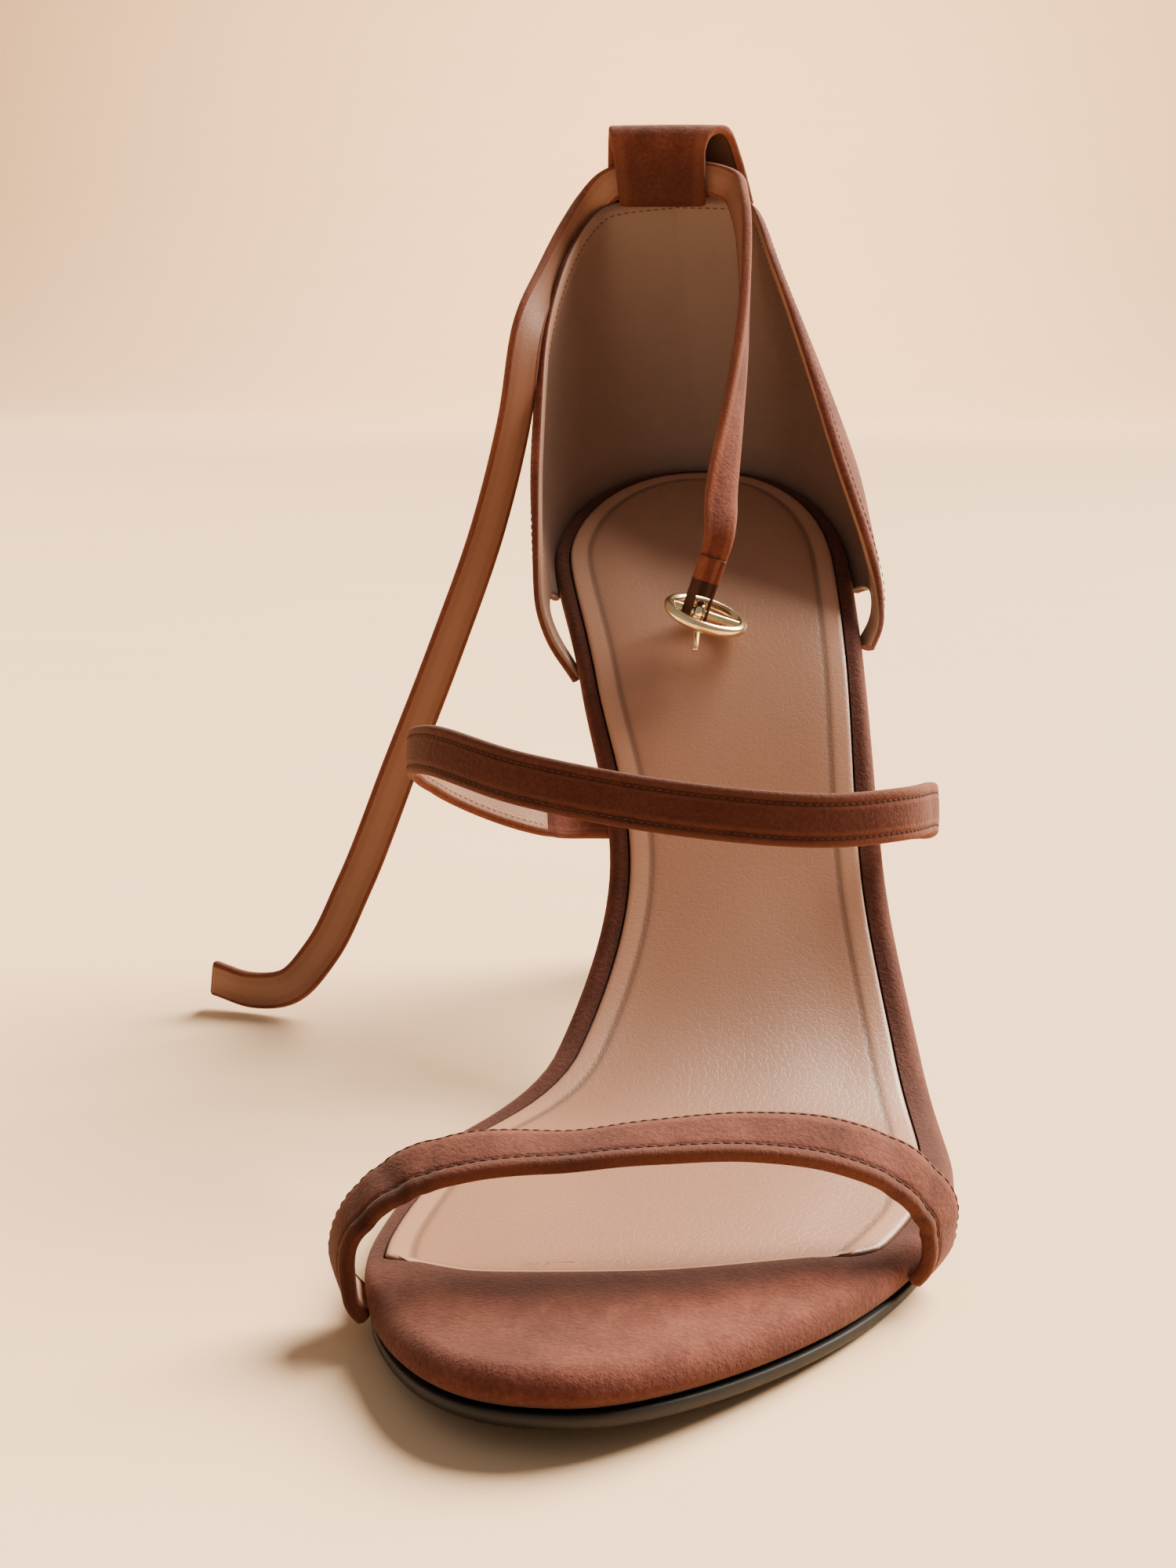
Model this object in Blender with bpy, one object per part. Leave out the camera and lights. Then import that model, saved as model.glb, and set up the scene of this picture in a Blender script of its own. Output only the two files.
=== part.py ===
"""High heel sandal for the left foot: suede straps, a closed back and a slim heel.

The model is in metres with +Z up. The toe points to -Y and the outer side of the foot to +X. The
origin is on the floor, under the middle of the forefoot's tread. Sizes below are in millimetres.
"""
import math
from collections import namedtuple

import bmesh
import bpy
import numpy as np

MM = 0.001
GAP = 0.3  # clearance between two pieces that meet

# Sole
BED_LENGTH = 252.0  # along the foot bed, from the toe tip to the back of the heel
TREAD_ARC = 64.5  # place of the tread's middle along the foot bed
INSOLE_THICK = 4.7
OUTSOLE_THICK = 2.2
SOLE_THICK = INSOLE_THICK + GAP + OUTSOLE_THICK
INSOLE_EDGE_RADIUS = 3.2
INSOLE_UNDERCUT = 1.5
OUTSOLE_INSET = 0.2
OUTSOLE_BEVEL = 0.8
OUTSOLE_END = 198.0
POCKET_INSET = 5.2  # full width of the suede border round the sock
POCKET_DEPTH = 1.0
SOCK_PROUD = 0.4
SOCK_BEVEL = 0.5
TOE_PAD = 0.7  # how far the toe piece swells over the border
TOE_CAP_MEDIAL = 56.7  # length of the toe's rounding on the inner side
TOE_CAP_LATERAL = 96.4
HEEL_CAP = 43.8
CAP_POWER = 2.2
TOE_TIP_SHIFT = -15.5  # the toe's foremost point lies towards the inner side
TOE_TIP_FADE = 1.5
SIDE_POINTS = 36

# Heel
HEEL_BREAST = 199.0
HEEL_INSET = 1.0
HEEL_TIP_THICK = 5.6
HEEL_SIDE_POINTS = 13
HEEL_BREAST_POINTS = 5
HEEL_RINGS = 15

# Straps
STRAP_THICK = 1.8
STRAP_BEVEL = 0.45
TOE_STRAP_WIDTH = 9.4
TOE_STRAP_FEET = (30.5, 45.0)  # inner and outer foot, along the foot bed
TOE_STRAP_STAND_OFF = STRAP_THICK / 2 + GAP + 0.4
TOE_STRAP_FOOT_DEPTH = 3.9
TOE_STRAP_TUCK = 0.5
INSTEP_STRAP_WIDTH = 8.0
INSTEP_STRAP_FEET = (151.0, 151.5)
INSTEP_FOOT_DEPTH = 3.1
INSTEP_FOOT_STAND_OFF = 1.0
INSTEP_FOOT_RUN = 2.5  # straight run out of the sole's side
ANKLE_STRAP_WIDTH = 6.0
ANKLE_TAIL_WIDTH = 7.0

# Counter
COUNTER_THICK = 2.0
COUNTER_FOOT_DEPTH = 4.4
COUNTER_COLUMNS = 47
COUNTER_ROWS = 8
NOTCH_SHARE = 0.55  # part of the wing's height that the cut-out takes

# Tab at the top of the counter
TAB_BACK = 155.0
TAB_THICK = 1.6
TAB_DEPTH = 6.2
TAB_FOOT = 153.9
TAB_SHOULDER = 162.2

# Buckle
BUCKLE_CENTRE = (0.3, 93.0, 76.4)
BUCKLE_TILT = 18.0  # the bar's slope down to the outer side, in degrees
FRAME_PITCH = 14.0  # the frame's front hangs lower than its back, in degrees
FRAME_HALF_LENGTH = 6.7
FRAME_HALF_WIDTH = 6.0
FRAME_WIRE = 1.0
BAR_RADIUS = 0.9
CHAPE_WIDTH = 5.6
CHAPE_SHIFT = -2.0  # along the bar, towards the inner side
CHAPE_THICK = 1.0
CHAPE_HEIGHT = 10.0
CHAPE_SLOT = 2.6
CHAPE_SLOT_HEIGHT = 3.2
PRONG_LENGTH = 8.4
PRONG_ROOT_RADIUS = 0.75
PRONG_TIP_RADIUS = 0.5
PRONG_EYE_WIDTH = 1.6
PRONG_EYE_OUTER = 2.1
PRONG_DROP = 45.0  # below the level, in degrees
PRONG_SKEW = 10.0  # lean along the bar, in degrees
PRONG_SHIFT = -1.4  # along the bar, with the chape's slot

FootBed = namedtuple("FootBed", "arc angle")
FOOT_BED = (
    FootBed(0, -9),
    FootBed(24, -5),
    FootBed(50, 0),
    FootBed(79, 0),
    FootBed(101, 24),
    FootBed(123, 45),
    FootBed(151, 51.5),
    FootBed(180, 45),
    FootBed(210, 24.5),
    FootBed(252, 19),
)

Width = namedtuple("Width", "arc medial lateral")
WIDTHS = (
    Width(0, 33, 28),
    Width(45, 42, 35.3),
    Width(76, 39.5, 38),
    Width(106, 23, 35.6),
    Width(141, 15.5, 31),
    Width(177, 21.8, 29),
    Width(217, 28.6, 27),
    Width(252, 28, 26),
)

# The border's share of its full width, which narrows under the toe strap and at the heel
Border = namedtuple("Border", "arc medial lateral")
BORDERS = (
    Border(0, 1, 1),
    Border(20, 1, 1),
    Border(33, 0.42, 0.75),
    Border(52, 0.45, 0.75),
    Border(76, 0.8, 0.9),
    Border(110, 0.72, 0.82),
    Border(150, 0.6, 0.72),
    Border(185, 0.5, 0.58),
    Border(252, 0.55, 0.55),
)

ToeLine = namedtuple("ToeLine", "x arc")
TOE_LINE = (
    ToeLine(-43, 38.5),
    ToeLine(-36, 35),
    ToeLine(-27, 32.2),
    ToeLine(-8, 33.5),
    ToeLine(11, 38.3),
    ToeLine(22, 42),
    ToeLine(30, 50),
)

HeelRing = namedtuple("HeelRing", "fall width length back")
HEEL_RINGS_TABLE = (
    HeelRing(0.1, 36, 38.5, 151),
    HeelRing(0.26, 24, 27.5, 147),
    HeelRing(0.5, 16, 19.5, 145),
    HeelRing(0.75, 12.3, 14.5, 144.5),
    HeelRing(1, 10.8, 12, 145),
)

ToeStrapRow = namedtuple("ToeStrapRow", "x y z splay rise")
TOE_STRAP = (
    ToeStrapRow(-44.6, -34.5, 9.8, -0.4, -0.1),
    ToeStrapRow(-44.2, -34.2, 13.5, -0.35, 0),
    ToeStrapRow(-41.8, -33.8, 17.4, -0.25, 0.2),
    ToeStrapRow(-36.2, -32.6, 21.4, -0.15, 0.27),
    ToeStrapRow(-29.6, -31.5, 23.1, -0.1, 0.27),
    ToeStrapRow(-16, -28.7, 23.4, -0.05, 0.1),
    ToeStrapRow(-5.5, -26.8, 23.9, 0, 0.17),
    ToeStrapRow(7.4, -24.3, 23.9, 0.05, 0.28),
    ToeStrapRow(19, -22, 21.8, 0.2, 0.38),
    ToeStrapRow(27.6, -20.4, 17.4, 0.5, 0.25),
    ToeStrapRow(31.9, -19.5, 11.6, 0.6, 0.1),
)

InstepStrapRow = namedtuple("InstepStrapRow", "x y z lean")
INSTEP_STRAP = (
    InstepStrapRow(-27.6, 66.5, 45.5, 34),
    InstepStrapRow(-40.7, 59, 52.2, 26),
    InstepStrapRow(-46.5, 50, 58.6, 16),
    InstepStrapRow(-42.3, 38, 62, 10),
    InstepStrapRow(-27, 24, 60.5, 8),
    InstepStrapRow(-3, 19, 57.3, 8),
    InstepStrapRow(20.5, 22, 55.2, 8),
    InstepStrapRow(30, 29, 54.7, 10),
    InstepStrapRow(36, 43, 52.7, 18),
    InstepStrapRow(36.3, 60, 47.2, 31),
)
INSTEP_FOOT_LEAN = 38.5

# Top edge of the counter: reach is the way round the sole's edge from the back of the heel
Topline = namedtuple("Topline", "reach x y z")
TOPLINE_MEDIAL = (
    Topline(0, -6.5, 155.3, 152.2),
    Topline(15, -20, 152.3, 150.2),
    Topline(28, -26.5, 138.5, 139),
    Topline(41.5, -29.7, 124.8, 121),
    Topline(53.5, -30.5, 113.2, 104),
    Topline(67, -30.5, 102.4, 87),
    Topline(74, -30.1, 97.8, 79),
    Topline(80, -28.3, 94.6, 72),
    Topline(86, -24.2, 91.8, 65),
)
TOPLINE_LATERAL = (
    Topline(0, -6.5, 155.3, 152.2),
    Topline(15, 7, 152.3, 151.4),
    Topline(27, 12.6, 138.3, 139),
    Topline(39.5, 18.6, 125.2, 121),
    Topline(50.5, 23.8, 114.7, 104),
    Topline(61, 29.6, 104.7, 87),
    Topline(67, 31.4, 101, 80),
    Topline(72, 31.8, 98.4, 75),
    Topline(77, 30.2, 96.2, 70.5),
)
Bulge = namedtuple("Bulge", "reach out")
BULGE_MEDIAL = (Bulge(0, 4.5), Bulge(20, 3.5), Bulge(45, 2.5), Bulge(64, 1), Bulge(90, 0))
BULGE_LATERAL = (Bulge(0, 4.5), Bulge(20, 4.2), Bulge(45, 4.6), Bulge(58, 2.8), Bulge(67, 1.2), Bulge(77, 0))
Notch = namedtuple("Notch", "start end")
NOTCH_MEDIAL = Notch(65, 84)
NOTCH_LATERAL = Notch(60, 75)

# Width of the tab from its foot over the fold to its sewn end
TabRow = namedtuple("TabRow", "share inner outer")
TAB_SIDES = (
    TabRow(0, -20.2, 9),
    TabRow(0.28, -20.2, 6.4),
    TabRow(0.46, -20, 4),
    TabRow(0.62, -19.4, -0.2),
    TabRow(0.7, -18.9, -0.8),
    TabRow(1, -17.6, -0.6),
)

# Ankle strap from the buckle to the tail's tip; facing is where its lining looks, 0 to the toe
AnkleStrapRow = namedtuple("AnkleStrapRow", "x y z facing")
ANKLE_STRAP = (
    AnkleStrapRow(2.9, 99.5, 98, -162),
    AnkleStrapRow(4.7, 108.5, 110.5, -128),
    AnkleStrapRow(6.5, 118.5, 125, -100),
    AnkleStrapRow(7, 129, 138.6, -82),
    AnkleStrapRow(6, 140, 150, -58),
    AnkleStrapRow(4.2, 147.4, 154.2, -28),
    AnkleStrapRow(-0.5, 151, 155.9, 0),
    AnkleStrapRow(-8, 151.8, 156.2, 0),
    AnkleStrapRow(-15, 152.2, 156, 0),
    AnkleStrapRow(-19.8, 152.7, 155.1, 10),
    AnkleStrapRow(-24.3, 152.1, 151.3, 34),
    AnkleStrapRow(-27.6, 147.5, 146.2, 50),
    AnkleStrapRow(-31, 138, 137.5, 46),
    AnkleStrapRow(-33.3, 125, 127, 34),
    AnkleStrapRow(-36, 119.5, 110, 24),
    AnkleStrapRow(-40.8, 116, 90, 18),
    AnkleStrapRow(-48.3, 110, 68, 14),
    AnkleStrapRow(-56.7, 105, 46, 12),
    AnkleStrapRow(-65.4, 100, 23.5, 8),
    AnkleStrapRow(-71.4, 96.5, 11.5, 0),
    AnkleStrapRow(-77, 94.5, 5.6, -20),
    AnkleStrapRow(-83.7, 95.5, 4.4, -40),
    AnkleStrapRow(-92, 98.5, 5.8, -45),
)

MEDIAL = -1
LATERAL = 1


def smooth(knots, values, at):
    """Monotone cubic through a table's rows, with no overshoot between them."""
    knots = np.asarray(knots, float)
    values = np.asarray(values, float)
    step = np.diff(knots)
    rate = np.diff(values) / step
    slope = np.empty_like(values)
    slope[0], slope[-1] = rate[0], rate[-1]
    same = rate[:-1] * rate[1:] > 0
    before = 2 * step[1:] + step[:-1]
    after = step[1:] + 2 * step[:-1]
    safe = np.where(same, rate[:-1], 1), np.where(same, rate[1:], 1)
    slope[1:-1] = np.where(same, (before + after) / (before / safe[0] + after / safe[1]), 0)
    at = np.clip(np.asarray(at, float), knots[0], knots[-1])
    i = np.clip(np.searchsorted(knots, at) - 1, 0, len(step) - 1)
    t = (at - knots[i]) / step[i]
    rise = (values[i + 1] - values[i]) * (3 - 2 * t) * t * t
    turn = slope[i] * step[i] * t * (1 - t) ** 2 - slope[i + 1] * step[i] * t * t * (1 - t)
    return values[i] + rise + turn


def column(table, name):
    """One named column of a table."""
    return [getattr(row, name) for row in table]


def unit(vectors):
    """Vectors scaled to length 1, row by row."""
    vectors = np.asarray(vectors, float)
    return vectors / np.linalg.norm(vectors, axis=-1, keepdims=True)


def curve_through(points, count):
    """Smooth curve through rows of numbers, read at `count` evenly spaced places.

    The first three numbers of a row are its place, and the others go along with it.
    """
    points = np.asarray(points, float)
    knot = np.concatenate([[0], np.cumsum(np.linalg.norm(np.diff(points[:, :3], axis=0), axis=1))])
    slope = np.gradient(points, knot, axis=0)
    at = np.linspace(0, knot[-1], 12 * len(points))
    i = np.clip(np.searchsorted(knot, at) - 1, 0, len(knot) - 2)
    step = (knot[i + 1] - knot[i])[:, None]
    t = ((at - knot[i])[:, None]) / step
    fine = (
        points[i] * (1 + 2 * t) * (1 - t) ** 2
        + slope[i] * step * t * (1 - t) ** 2
        + points[i + 1] * t * t * (3 - 2 * t)
        - slope[i + 1] * step * t * t * (1 - t)
    )
    way = np.concatenate([[0], np.cumsum(np.linalg.norm(np.diff(fine[:, :3], axis=0), axis=1))])
    even = np.linspace(0, way[-1], count)
    return np.stack([np.interp(even, way, fine[:, k]) for k in range(fine.shape[1])], axis=1)


class FootBedLine:
    """Side view of the foot bed: its tangent angles summed up along its length."""

    MARGIN = 20.0
    STEP = 0.5

    def __init__(self):
        self.arc = np.arange(-self.MARGIN, BED_LENGTH + self.MARGIN + self.STEP, self.STEP)
        self.angle = np.radians(smooth(column(FOOT_BED, "arc"), column(FOOT_BED, "angle"), self.arc))
        middle = (self.angle[1:] + self.angle[:-1]) / 2
        self.y = np.concatenate([[0], np.cumsum(np.cos(middle) * self.STEP)])
        self.z = np.concatenate([[0], np.cumsum(np.sin(middle) * self.STEP)])
        self.y -= np.interp(TREAD_ARC, self.arc, self.y)
        self.z += SOLE_THICK - np.interp(TREAD_ARC, self.arc, self.z)

    def bend(self, arc, x, height):
        """Places on or over the foot bed, from flat pattern coordinates."""
        arc, x, height = np.broadcast_arrays(np.asarray(arc, float), x, height)
        angle = np.interp(arc, self.arc, self.angle)
        y = np.interp(arc, self.arc, self.y) - height * np.sin(angle)
        z = np.interp(arc, self.arc, self.z) + height * np.cos(angle)
        return np.stack([x, y, z], axis=-1)


FOOT = FootBedLine()


def sole_edge(arc, side):
    """Signed distance of the sole's edge from the heel's centre line."""
    arc = np.asarray(arc, float)
    name, cap = ("medial", TOE_CAP_MEDIAL) if side == MEDIAL else ("lateral", TOE_CAP_LATERAL)
    width = smooth(column(WIDTHS, "arc"), column(WIDTHS, name), arc)
    toe = (1 - np.clip(1 - arc / cap, 0, 1) ** CAP_POWER) ** (1 / CAP_POWER)
    heel = (1 - np.clip(1 - (BED_LENGTH - arc) / HEEL_CAP, 0, 1) ** CAP_POWER) ** (1 / CAP_POWER)
    shift = TOE_TIP_SHIFT * np.clip(1 - arc / TOE_CAP_MEDIAL, 0, 1) ** TOE_TIP_FADE
    return shift + side * width * toe * heel


def sole_loop(side_points=SIDE_POINTS):
    """Closed outline of the sole: toe tip, outer side, heel, inner side, as (arc, x) rows."""
    turn = np.linspace(0, math.pi, side_points + 1)
    arc = BED_LENGTH * (1 - np.cos(turn)) / 2
    outer = np.stack([arc, sole_edge(arc, LATERAL)], axis=1)
    inner = np.stack([arc, sole_edge(arc, MEDIAL)], axis=1)
    return np.concatenate([outer, inner[-2:0:-1]])


def loop_normals(loop):
    """Outward normals of a closed outline that runs as sole_loop does."""
    along = np.roll(loop, -1, axis=0) - np.roll(loop, 1, axis=0)
    return unit(np.stack([-along[:, 1], along[:, 0]], axis=1))


def border_share(loop):
    """Share of the border's full width at each place of an outline."""
    arcs = column(BORDERS, "arc")
    half = len(loop) // 2
    outer = smooth(arcs, column(BORDERS, "lateral"), loop[:, 0])
    inner = smooth(arcs, column(BORDERS, "medial"), loop[:, 0])
    return np.where(np.arange(len(loop)) <= half, outer, inner)


def inset_loop(inset, border=0.0):
    """The sole's outline moved inwards, evenly and by a part that follows the border's width."""
    loop = sole_loop()
    return loop - (inset + border * border_share(loop))[:, None] * loop_normals(loop)


def toe_line_loop(inset, forward):
    """The border's inner line moved inwards, cut off behind the toe piece."""
    loop = inset_loop(inset, POCKET_INSET)
    front = smooth(column(TOE_LINE, "x"), column(TOE_LINE, "arc"), loop[:, 1]) - forward
    loop[:, 0] = np.maximum(loop[:, 0], front)
    return loop


def add_object(name, mesh_source, material, origin=(0.0, 0.0, 0.0)):
    """Object from a bmesh in millimetres, smooth below a sharp angle, with its origin where asked."""
    bmesh.ops.recalc_face_normals(mesh_source, faces=mesh_source.faces)
    bmesh.ops.translate(mesh_source, vec=[-place for place in origin], verts=mesh_source.verts)
    bmesh.ops.scale(mesh_source, vec=(MM, MM, MM), verts=mesh_source.verts)
    mesh = bpy.data.meshes.new(name)
    mesh_source.to_mesh(mesh)
    mesh_source.free()
    mesh.shade_smooth()
    mesh.set_sharp_from_angle(angle=math.radians(40))
    mesh.materials.append(material)
    piece = bpy.data.objects.new(name, mesh)
    piece.location = [place * MM for place in origin]
    bpy.context.scene.collection.objects.link(piece)
    return piece


def add_ring(mesh, points):
    """Vertices of one ring."""
    return [mesh.verts.new(point) for point in points]


def bridge(mesh, ring, other, closed=True):
    """Quads between two rings of the same count."""
    count = len(ring)
    for i in range(count if closed else count - 1):
        j = (i + 1) % count
        mesh.faces.new((ring[i], ring[j], other[j], other[i]))


def ladder(mesh, ring):
    """Fills a ring that runs as sole_loop does with strips from side to side."""
    count = len(ring)
    half = count // 2
    mesh.faces.new((ring[0], ring[1], ring[count - 1]))
    for i in range(1, half - 1):
        mesh.faces.new((ring[i], ring[i + 1], ring[count - i - 1], ring[count - i]))
    mesh.faces.new((ring[half - 1], ring[half], ring[half + 1]))


def plate(name, rings, material):
    """Bent plate from rings of (loop, height), the first and the last filled."""
    mesh = bmesh.new()
    made = [add_ring(mesh, FOOT.bend(loop[:, 0], loop[:, 1], height)) for loop, height in rings]
    for ring, other in zip(made, made[1:]):
        bridge(mesh, ring, other)
    ladder(mesh, made[0])
    ladder(mesh, made[-1])
    return add_object(name, mesh, material)


def band_section(width, thick, bevel):
    """Flat strap's section: eight corners as (across, out) pairs."""
    half = width / 2
    flat = thick / 2
    return (
        (half, flat - bevel),
        (half - bevel, flat),
        (bevel - half, flat),
        (-half, flat - bevel),
        (-half, bevel - flat),
        (bevel - half, -flat),
        (half - bevel, -flat),
        (half, bevel - flat),
    )


def band_mesh(path, across, width, thick, bevel=STRAP_BEVEL, shift=0.0):
    """Flat strap along a path; `across` gives the direction of its width at each place.

    `shift` moves the strap sideways off the path.
    """
    along = unit(np.gradient(path, axis=0))
    across = unit(across - np.sum(across * along, axis=1, keepdims=True) * along)
    out = np.cross(along, across)
    mesh = bmesh.new()
    rings = []
    widths = np.broadcast_to(width, len(path))
    path = path + np.broadcast_to(shift, len(path))[:, None] * across
    for place, wide, up, size in zip(path, across, out, widths):
        section = band_section(size, thick, bevel)
        rings.append(add_ring(mesh, [place + a * wide + b * up for a, b in section]))
    for ring, other in zip(rings, rings[1:]):
        bridge(mesh, ring, other)
    mesh.faces.new(rings[0])
    mesh.faces.new(rings[-1])
    return mesh


def tube_mesh(path, radii, sides=10, closed=False):
    """Round tube along a path that lies in a plane or bends gently."""
    along = unit(np.gradient(path, axis=0))
    if closed:
        along = unit(np.roll(path, -1, axis=0) - np.roll(path, 1, axis=0))
    helper = np.array([0.0, 1.0, 0.0]) if abs(along[0][1]) < 0.9 else np.array([1.0, 0.0, 0.0])
    mesh = bmesh.new()
    rings = []
    for place, way, radius in zip(path, along, np.broadcast_to(radii, len(path))):
        side = unit(np.cross(way, helper))
        up = np.cross(side, way)
        turns = [2 * math.pi * k / sides for k in range(sides)]
        spokes = [math.cos(t) * side + math.sin(t) * up for t in turns]
        rings.append(add_ring(mesh, [place + radius * spoke for spoke in spokes]))
    for ring, other in zip(rings, rings[1:]):
        bridge(mesh, ring, other)
    if closed:
        bridge(mesh, rings[-1], rings[0])
    else:
        mesh.faces.new(rings[0])
        mesh.faces.new(rings[-1])
    return mesh


def finish(name, colour, roughness, metallic=0.0):
    """Plain material of one piece."""
    material = bpy.data.materials.new(name)
    material.use_nodes = True
    shader = material.node_tree.nodes["Principled BSDF"]
    shader.inputs["Base Color"].default_value = (*colour, 1.0)
    shader.inputs["Roughness"].default_value = roughness
    shader.inputs["Metallic"].default_value = metallic
    return material


def make_outsole(material):
    """Thin sole under the forefoot and the waist, cut straight at the heel breast."""
    def cut(inset):
        loop = inset_loop(inset)
        loop[:, 0] = np.minimum(loop[:, 0], OUTSOLE_END - GAP)
        return loop

    top = -INSOLE_THICK - GAP
    rings = (
        (cut(OUTSOLE_INSET + OUTSOLE_BEVEL), -SOLE_THICK),
        (cut(OUTSOLE_INSET), -SOLE_THICK + OUTSOLE_BEVEL),
        (cut(OUTSOLE_INSET), top),
    )
    return plate("outsole", rings, material)


def make_insole(material):
    """Suede wrapped insole with a rolled edge, a padded toe piece and a recess for the sock."""
    radius = INSOLE_EDGE_RADIUS
    rings = [
        (inset_loop(INSOLE_UNDERCUT), -INSOLE_THICK),
        (inset_loop(0), -INSOLE_THICK + INSOLE_UNDERCUT),
    ]
    for turn in np.radians((0, 30, 60, 90)):
        drop = radius * border_share(sole_loop()) * (math.sin(turn) - 1)
        rings.append((inset_loop(0, radius * (1 - math.cos(turn))), drop))
    brow = inset_loop(0, radius)
    pocket = toe_line_loop(0, 0)
    reach = np.linalg.norm(pocket - brow, axis=1)
    pad = TOE_PAD * np.clip((reach - POCKET_INSET) / POCKET_INSET, 0, 1)
    for share in (0.3, 0.65, 1.0):
        rings.append((brow + share * (pocket - brow), pad * math.sin(share * math.pi / 2)))
    rings.append((pocket, -POCKET_DEPTH))
    return plate("insole", rings, material)


def make_sock(material):
    """Thin leather sock that fills the recess."""
    outline = toe_line_loop(GAP, -GAP)
    top = toe_line_loop(GAP + SOCK_BEVEL, -GAP - SOCK_BEVEL)
    rings = (
        (outline, GAP - POCKET_DEPTH),
        (outline, SOCK_PROUD - SOCK_BEVEL / 2),
        (top, SOCK_PROUD),
    )
    return plate("sock", rings, material)


def heel_seat_loop():
    """Outline of the heel's seat: outer side, back, inner side and breast, as (arc, x) rows."""
    turn = np.linspace(0, math.pi / 2, HEEL_SIDE_POINTS)
    back = BED_LENGTH - HEEL_INSET
    arc = HEEL_BREAST + (back - HEEL_BREAST) * np.sin(turn)
    outer = sole_edge(arc + HEEL_INSET, LATERAL)
    inner = sole_edge(arc + HEEL_INSET, MEDIAL)
    outer = np.maximum(outer - HEEL_INSET, 0)
    inner = np.minimum(inner + HEEL_INSET, 0)
    share = np.linspace(0, 1, HEEL_BREAST_POINTS + 2)[1:-1]
    breast = inner[0] + share * (outer[0] - inner[0])
    x = np.concatenate([outer, inner[-2::-1], breast])
    along = np.concatenate([arc, arc[-2::-1], np.full(len(share), HEEL_BREAST)])
    return np.stack([along, x], axis=1)


def heel_section(fall):
    """One ring of the heel, from its seat (fall 0) to its tip (fall 1)."""
    seat = heel_seat_loop()
    top = FOOT.bend(seat[:, 0], seat[:, 1], -INSOLE_THICK - GAP)
    wide = np.ptp(top[:, 0])
    back = top[:, 1].max()
    deep = np.ptp(top[:, 1])
    falls = [0] + column(HEEL_RINGS_TABLE, "fall")
    width = smooth(falls, [wide] + column(HEEL_RINGS_TABLE, "width"), fall)
    length = smooth(falls, [deep] + column(HEEL_RINGS_TABLE, "length"), fall)
    behind = smooth(falls, [back] + column(HEEL_RINGS_TABLE, "back"), fall)
    x = top[:, 0] * width / wide
    y = behind - (back - top[:, 1]) * length / deep
    z = top[:, 2] * (1 - fall) + (HEEL_TIP_THICK + GAP) * fall
    return np.stack([x, y, z], axis=1)


def make_heel(material):
    """Slim covered heel."""
    mesh = bmesh.new()
    falls = np.linspace(0, 1, HEEL_RINGS) ** 1.4
    rings = [add_ring(mesh, heel_section(fall)) for fall in falls]
    for ring, other in zip(rings, rings[1:]):
        bridge(mesh, ring, other)
    mesh.faces.new(rings[-1])
    bed = rings[0]
    last = 2 * (HEEL_SIDE_POINTS - 1)
    for i in range(HEEL_SIDE_POINTS - 2):
        mesh.faces.new((bed[i], bed[i + 1], bed[last - i - 1], bed[last - i]))
    tip = HEEL_SIDE_POINTS - 1
    mesh.faces.new((bed[tip - 1], bed[tip], bed[tip + 1]))
    mesh.faces.new((bed[0], *bed[last:]))
    return add_object("heel", mesh, material)


def make_heel_tip(material):
    """Top piece that meets the floor."""
    mesh = bmesh.new()
    section = heel_section(1.0)
    section[:, 2] = 0
    rings = [add_ring(mesh, section), add_ring(mesh, section + (0, 0, HEEL_TIP_THICK))]
    bridge(mesh, *rings)
    mesh.faces.new(rings[0])
    mesh.faces.new(rings[1])
    return add_object("heel_tip", mesh, material)


def make_toe_strap(material):
    """Strap over the toes, its feet tucked against the sole's edge."""
    def foot(arc, side, share):
        off = TOE_STRAP_STAND_OFF - TOE_STRAP_TUCK * (2 * share - 1)
        place = FOOT.bend(arc, sole_edge(arc, side) + side * off, -TOE_STRAP_FOOT_DEPTH * share)
        splay = (sole_edge(arc + 1, side) - sole_edge(arc - 1, side)) / 2
        return (*place, splay, 0)

    start, end = TOE_STRAP_FEET
    rows = [foot(start, MEDIAL, 1), foot(start, MEDIAL, 0.5)]
    rows += TOE_STRAP
    rows += [foot(end, LATERAL, 0.5), foot(end, LATERAL, 1)]
    line = curve_through(rows, 34)
    across = np.stack([line[:, 3], np.ones(len(line)), line[:, 4]], axis=1)
    mesh = band_mesh(line[:, :3], across, TOE_STRAP_WIDTH, STRAP_THICK)
    return add_object("toe_strap", mesh, material)


def make_instep_strap(material):
    """Strap that stands off over the instep as a wide loop."""
    def foot(arc, side, run):
        x = sole_edge(arc, side) + side * (INSTEP_FOOT_STAND_OFF + run)
        place = FOOT.bend(arc, x, -INSTEP_FOOT_DEPTH)
        return (*place, INSTEP_FOOT_LEAN)

    start, end = INSTEP_STRAP_FEET
    rows = [foot(start, MEDIAL, 0), foot(start, MEDIAL, INSTEP_FOOT_RUN)]
    rows += INSTEP_STRAP
    rows += [foot(end, LATERAL, INSTEP_FOOT_RUN), foot(end, LATERAL, 0)]
    line = curve_through(rows, 46)
    lean = np.radians(line[:, 3])
    across = np.stack([np.zeros(len(line)), np.sin(lean), np.cos(lean)], axis=1)
    mesh = band_mesh(line[:, :3], across, INSTEP_STRAP_WIDTH, STRAP_THICK)
    return add_object("instep_strap", mesh, material)


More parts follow.
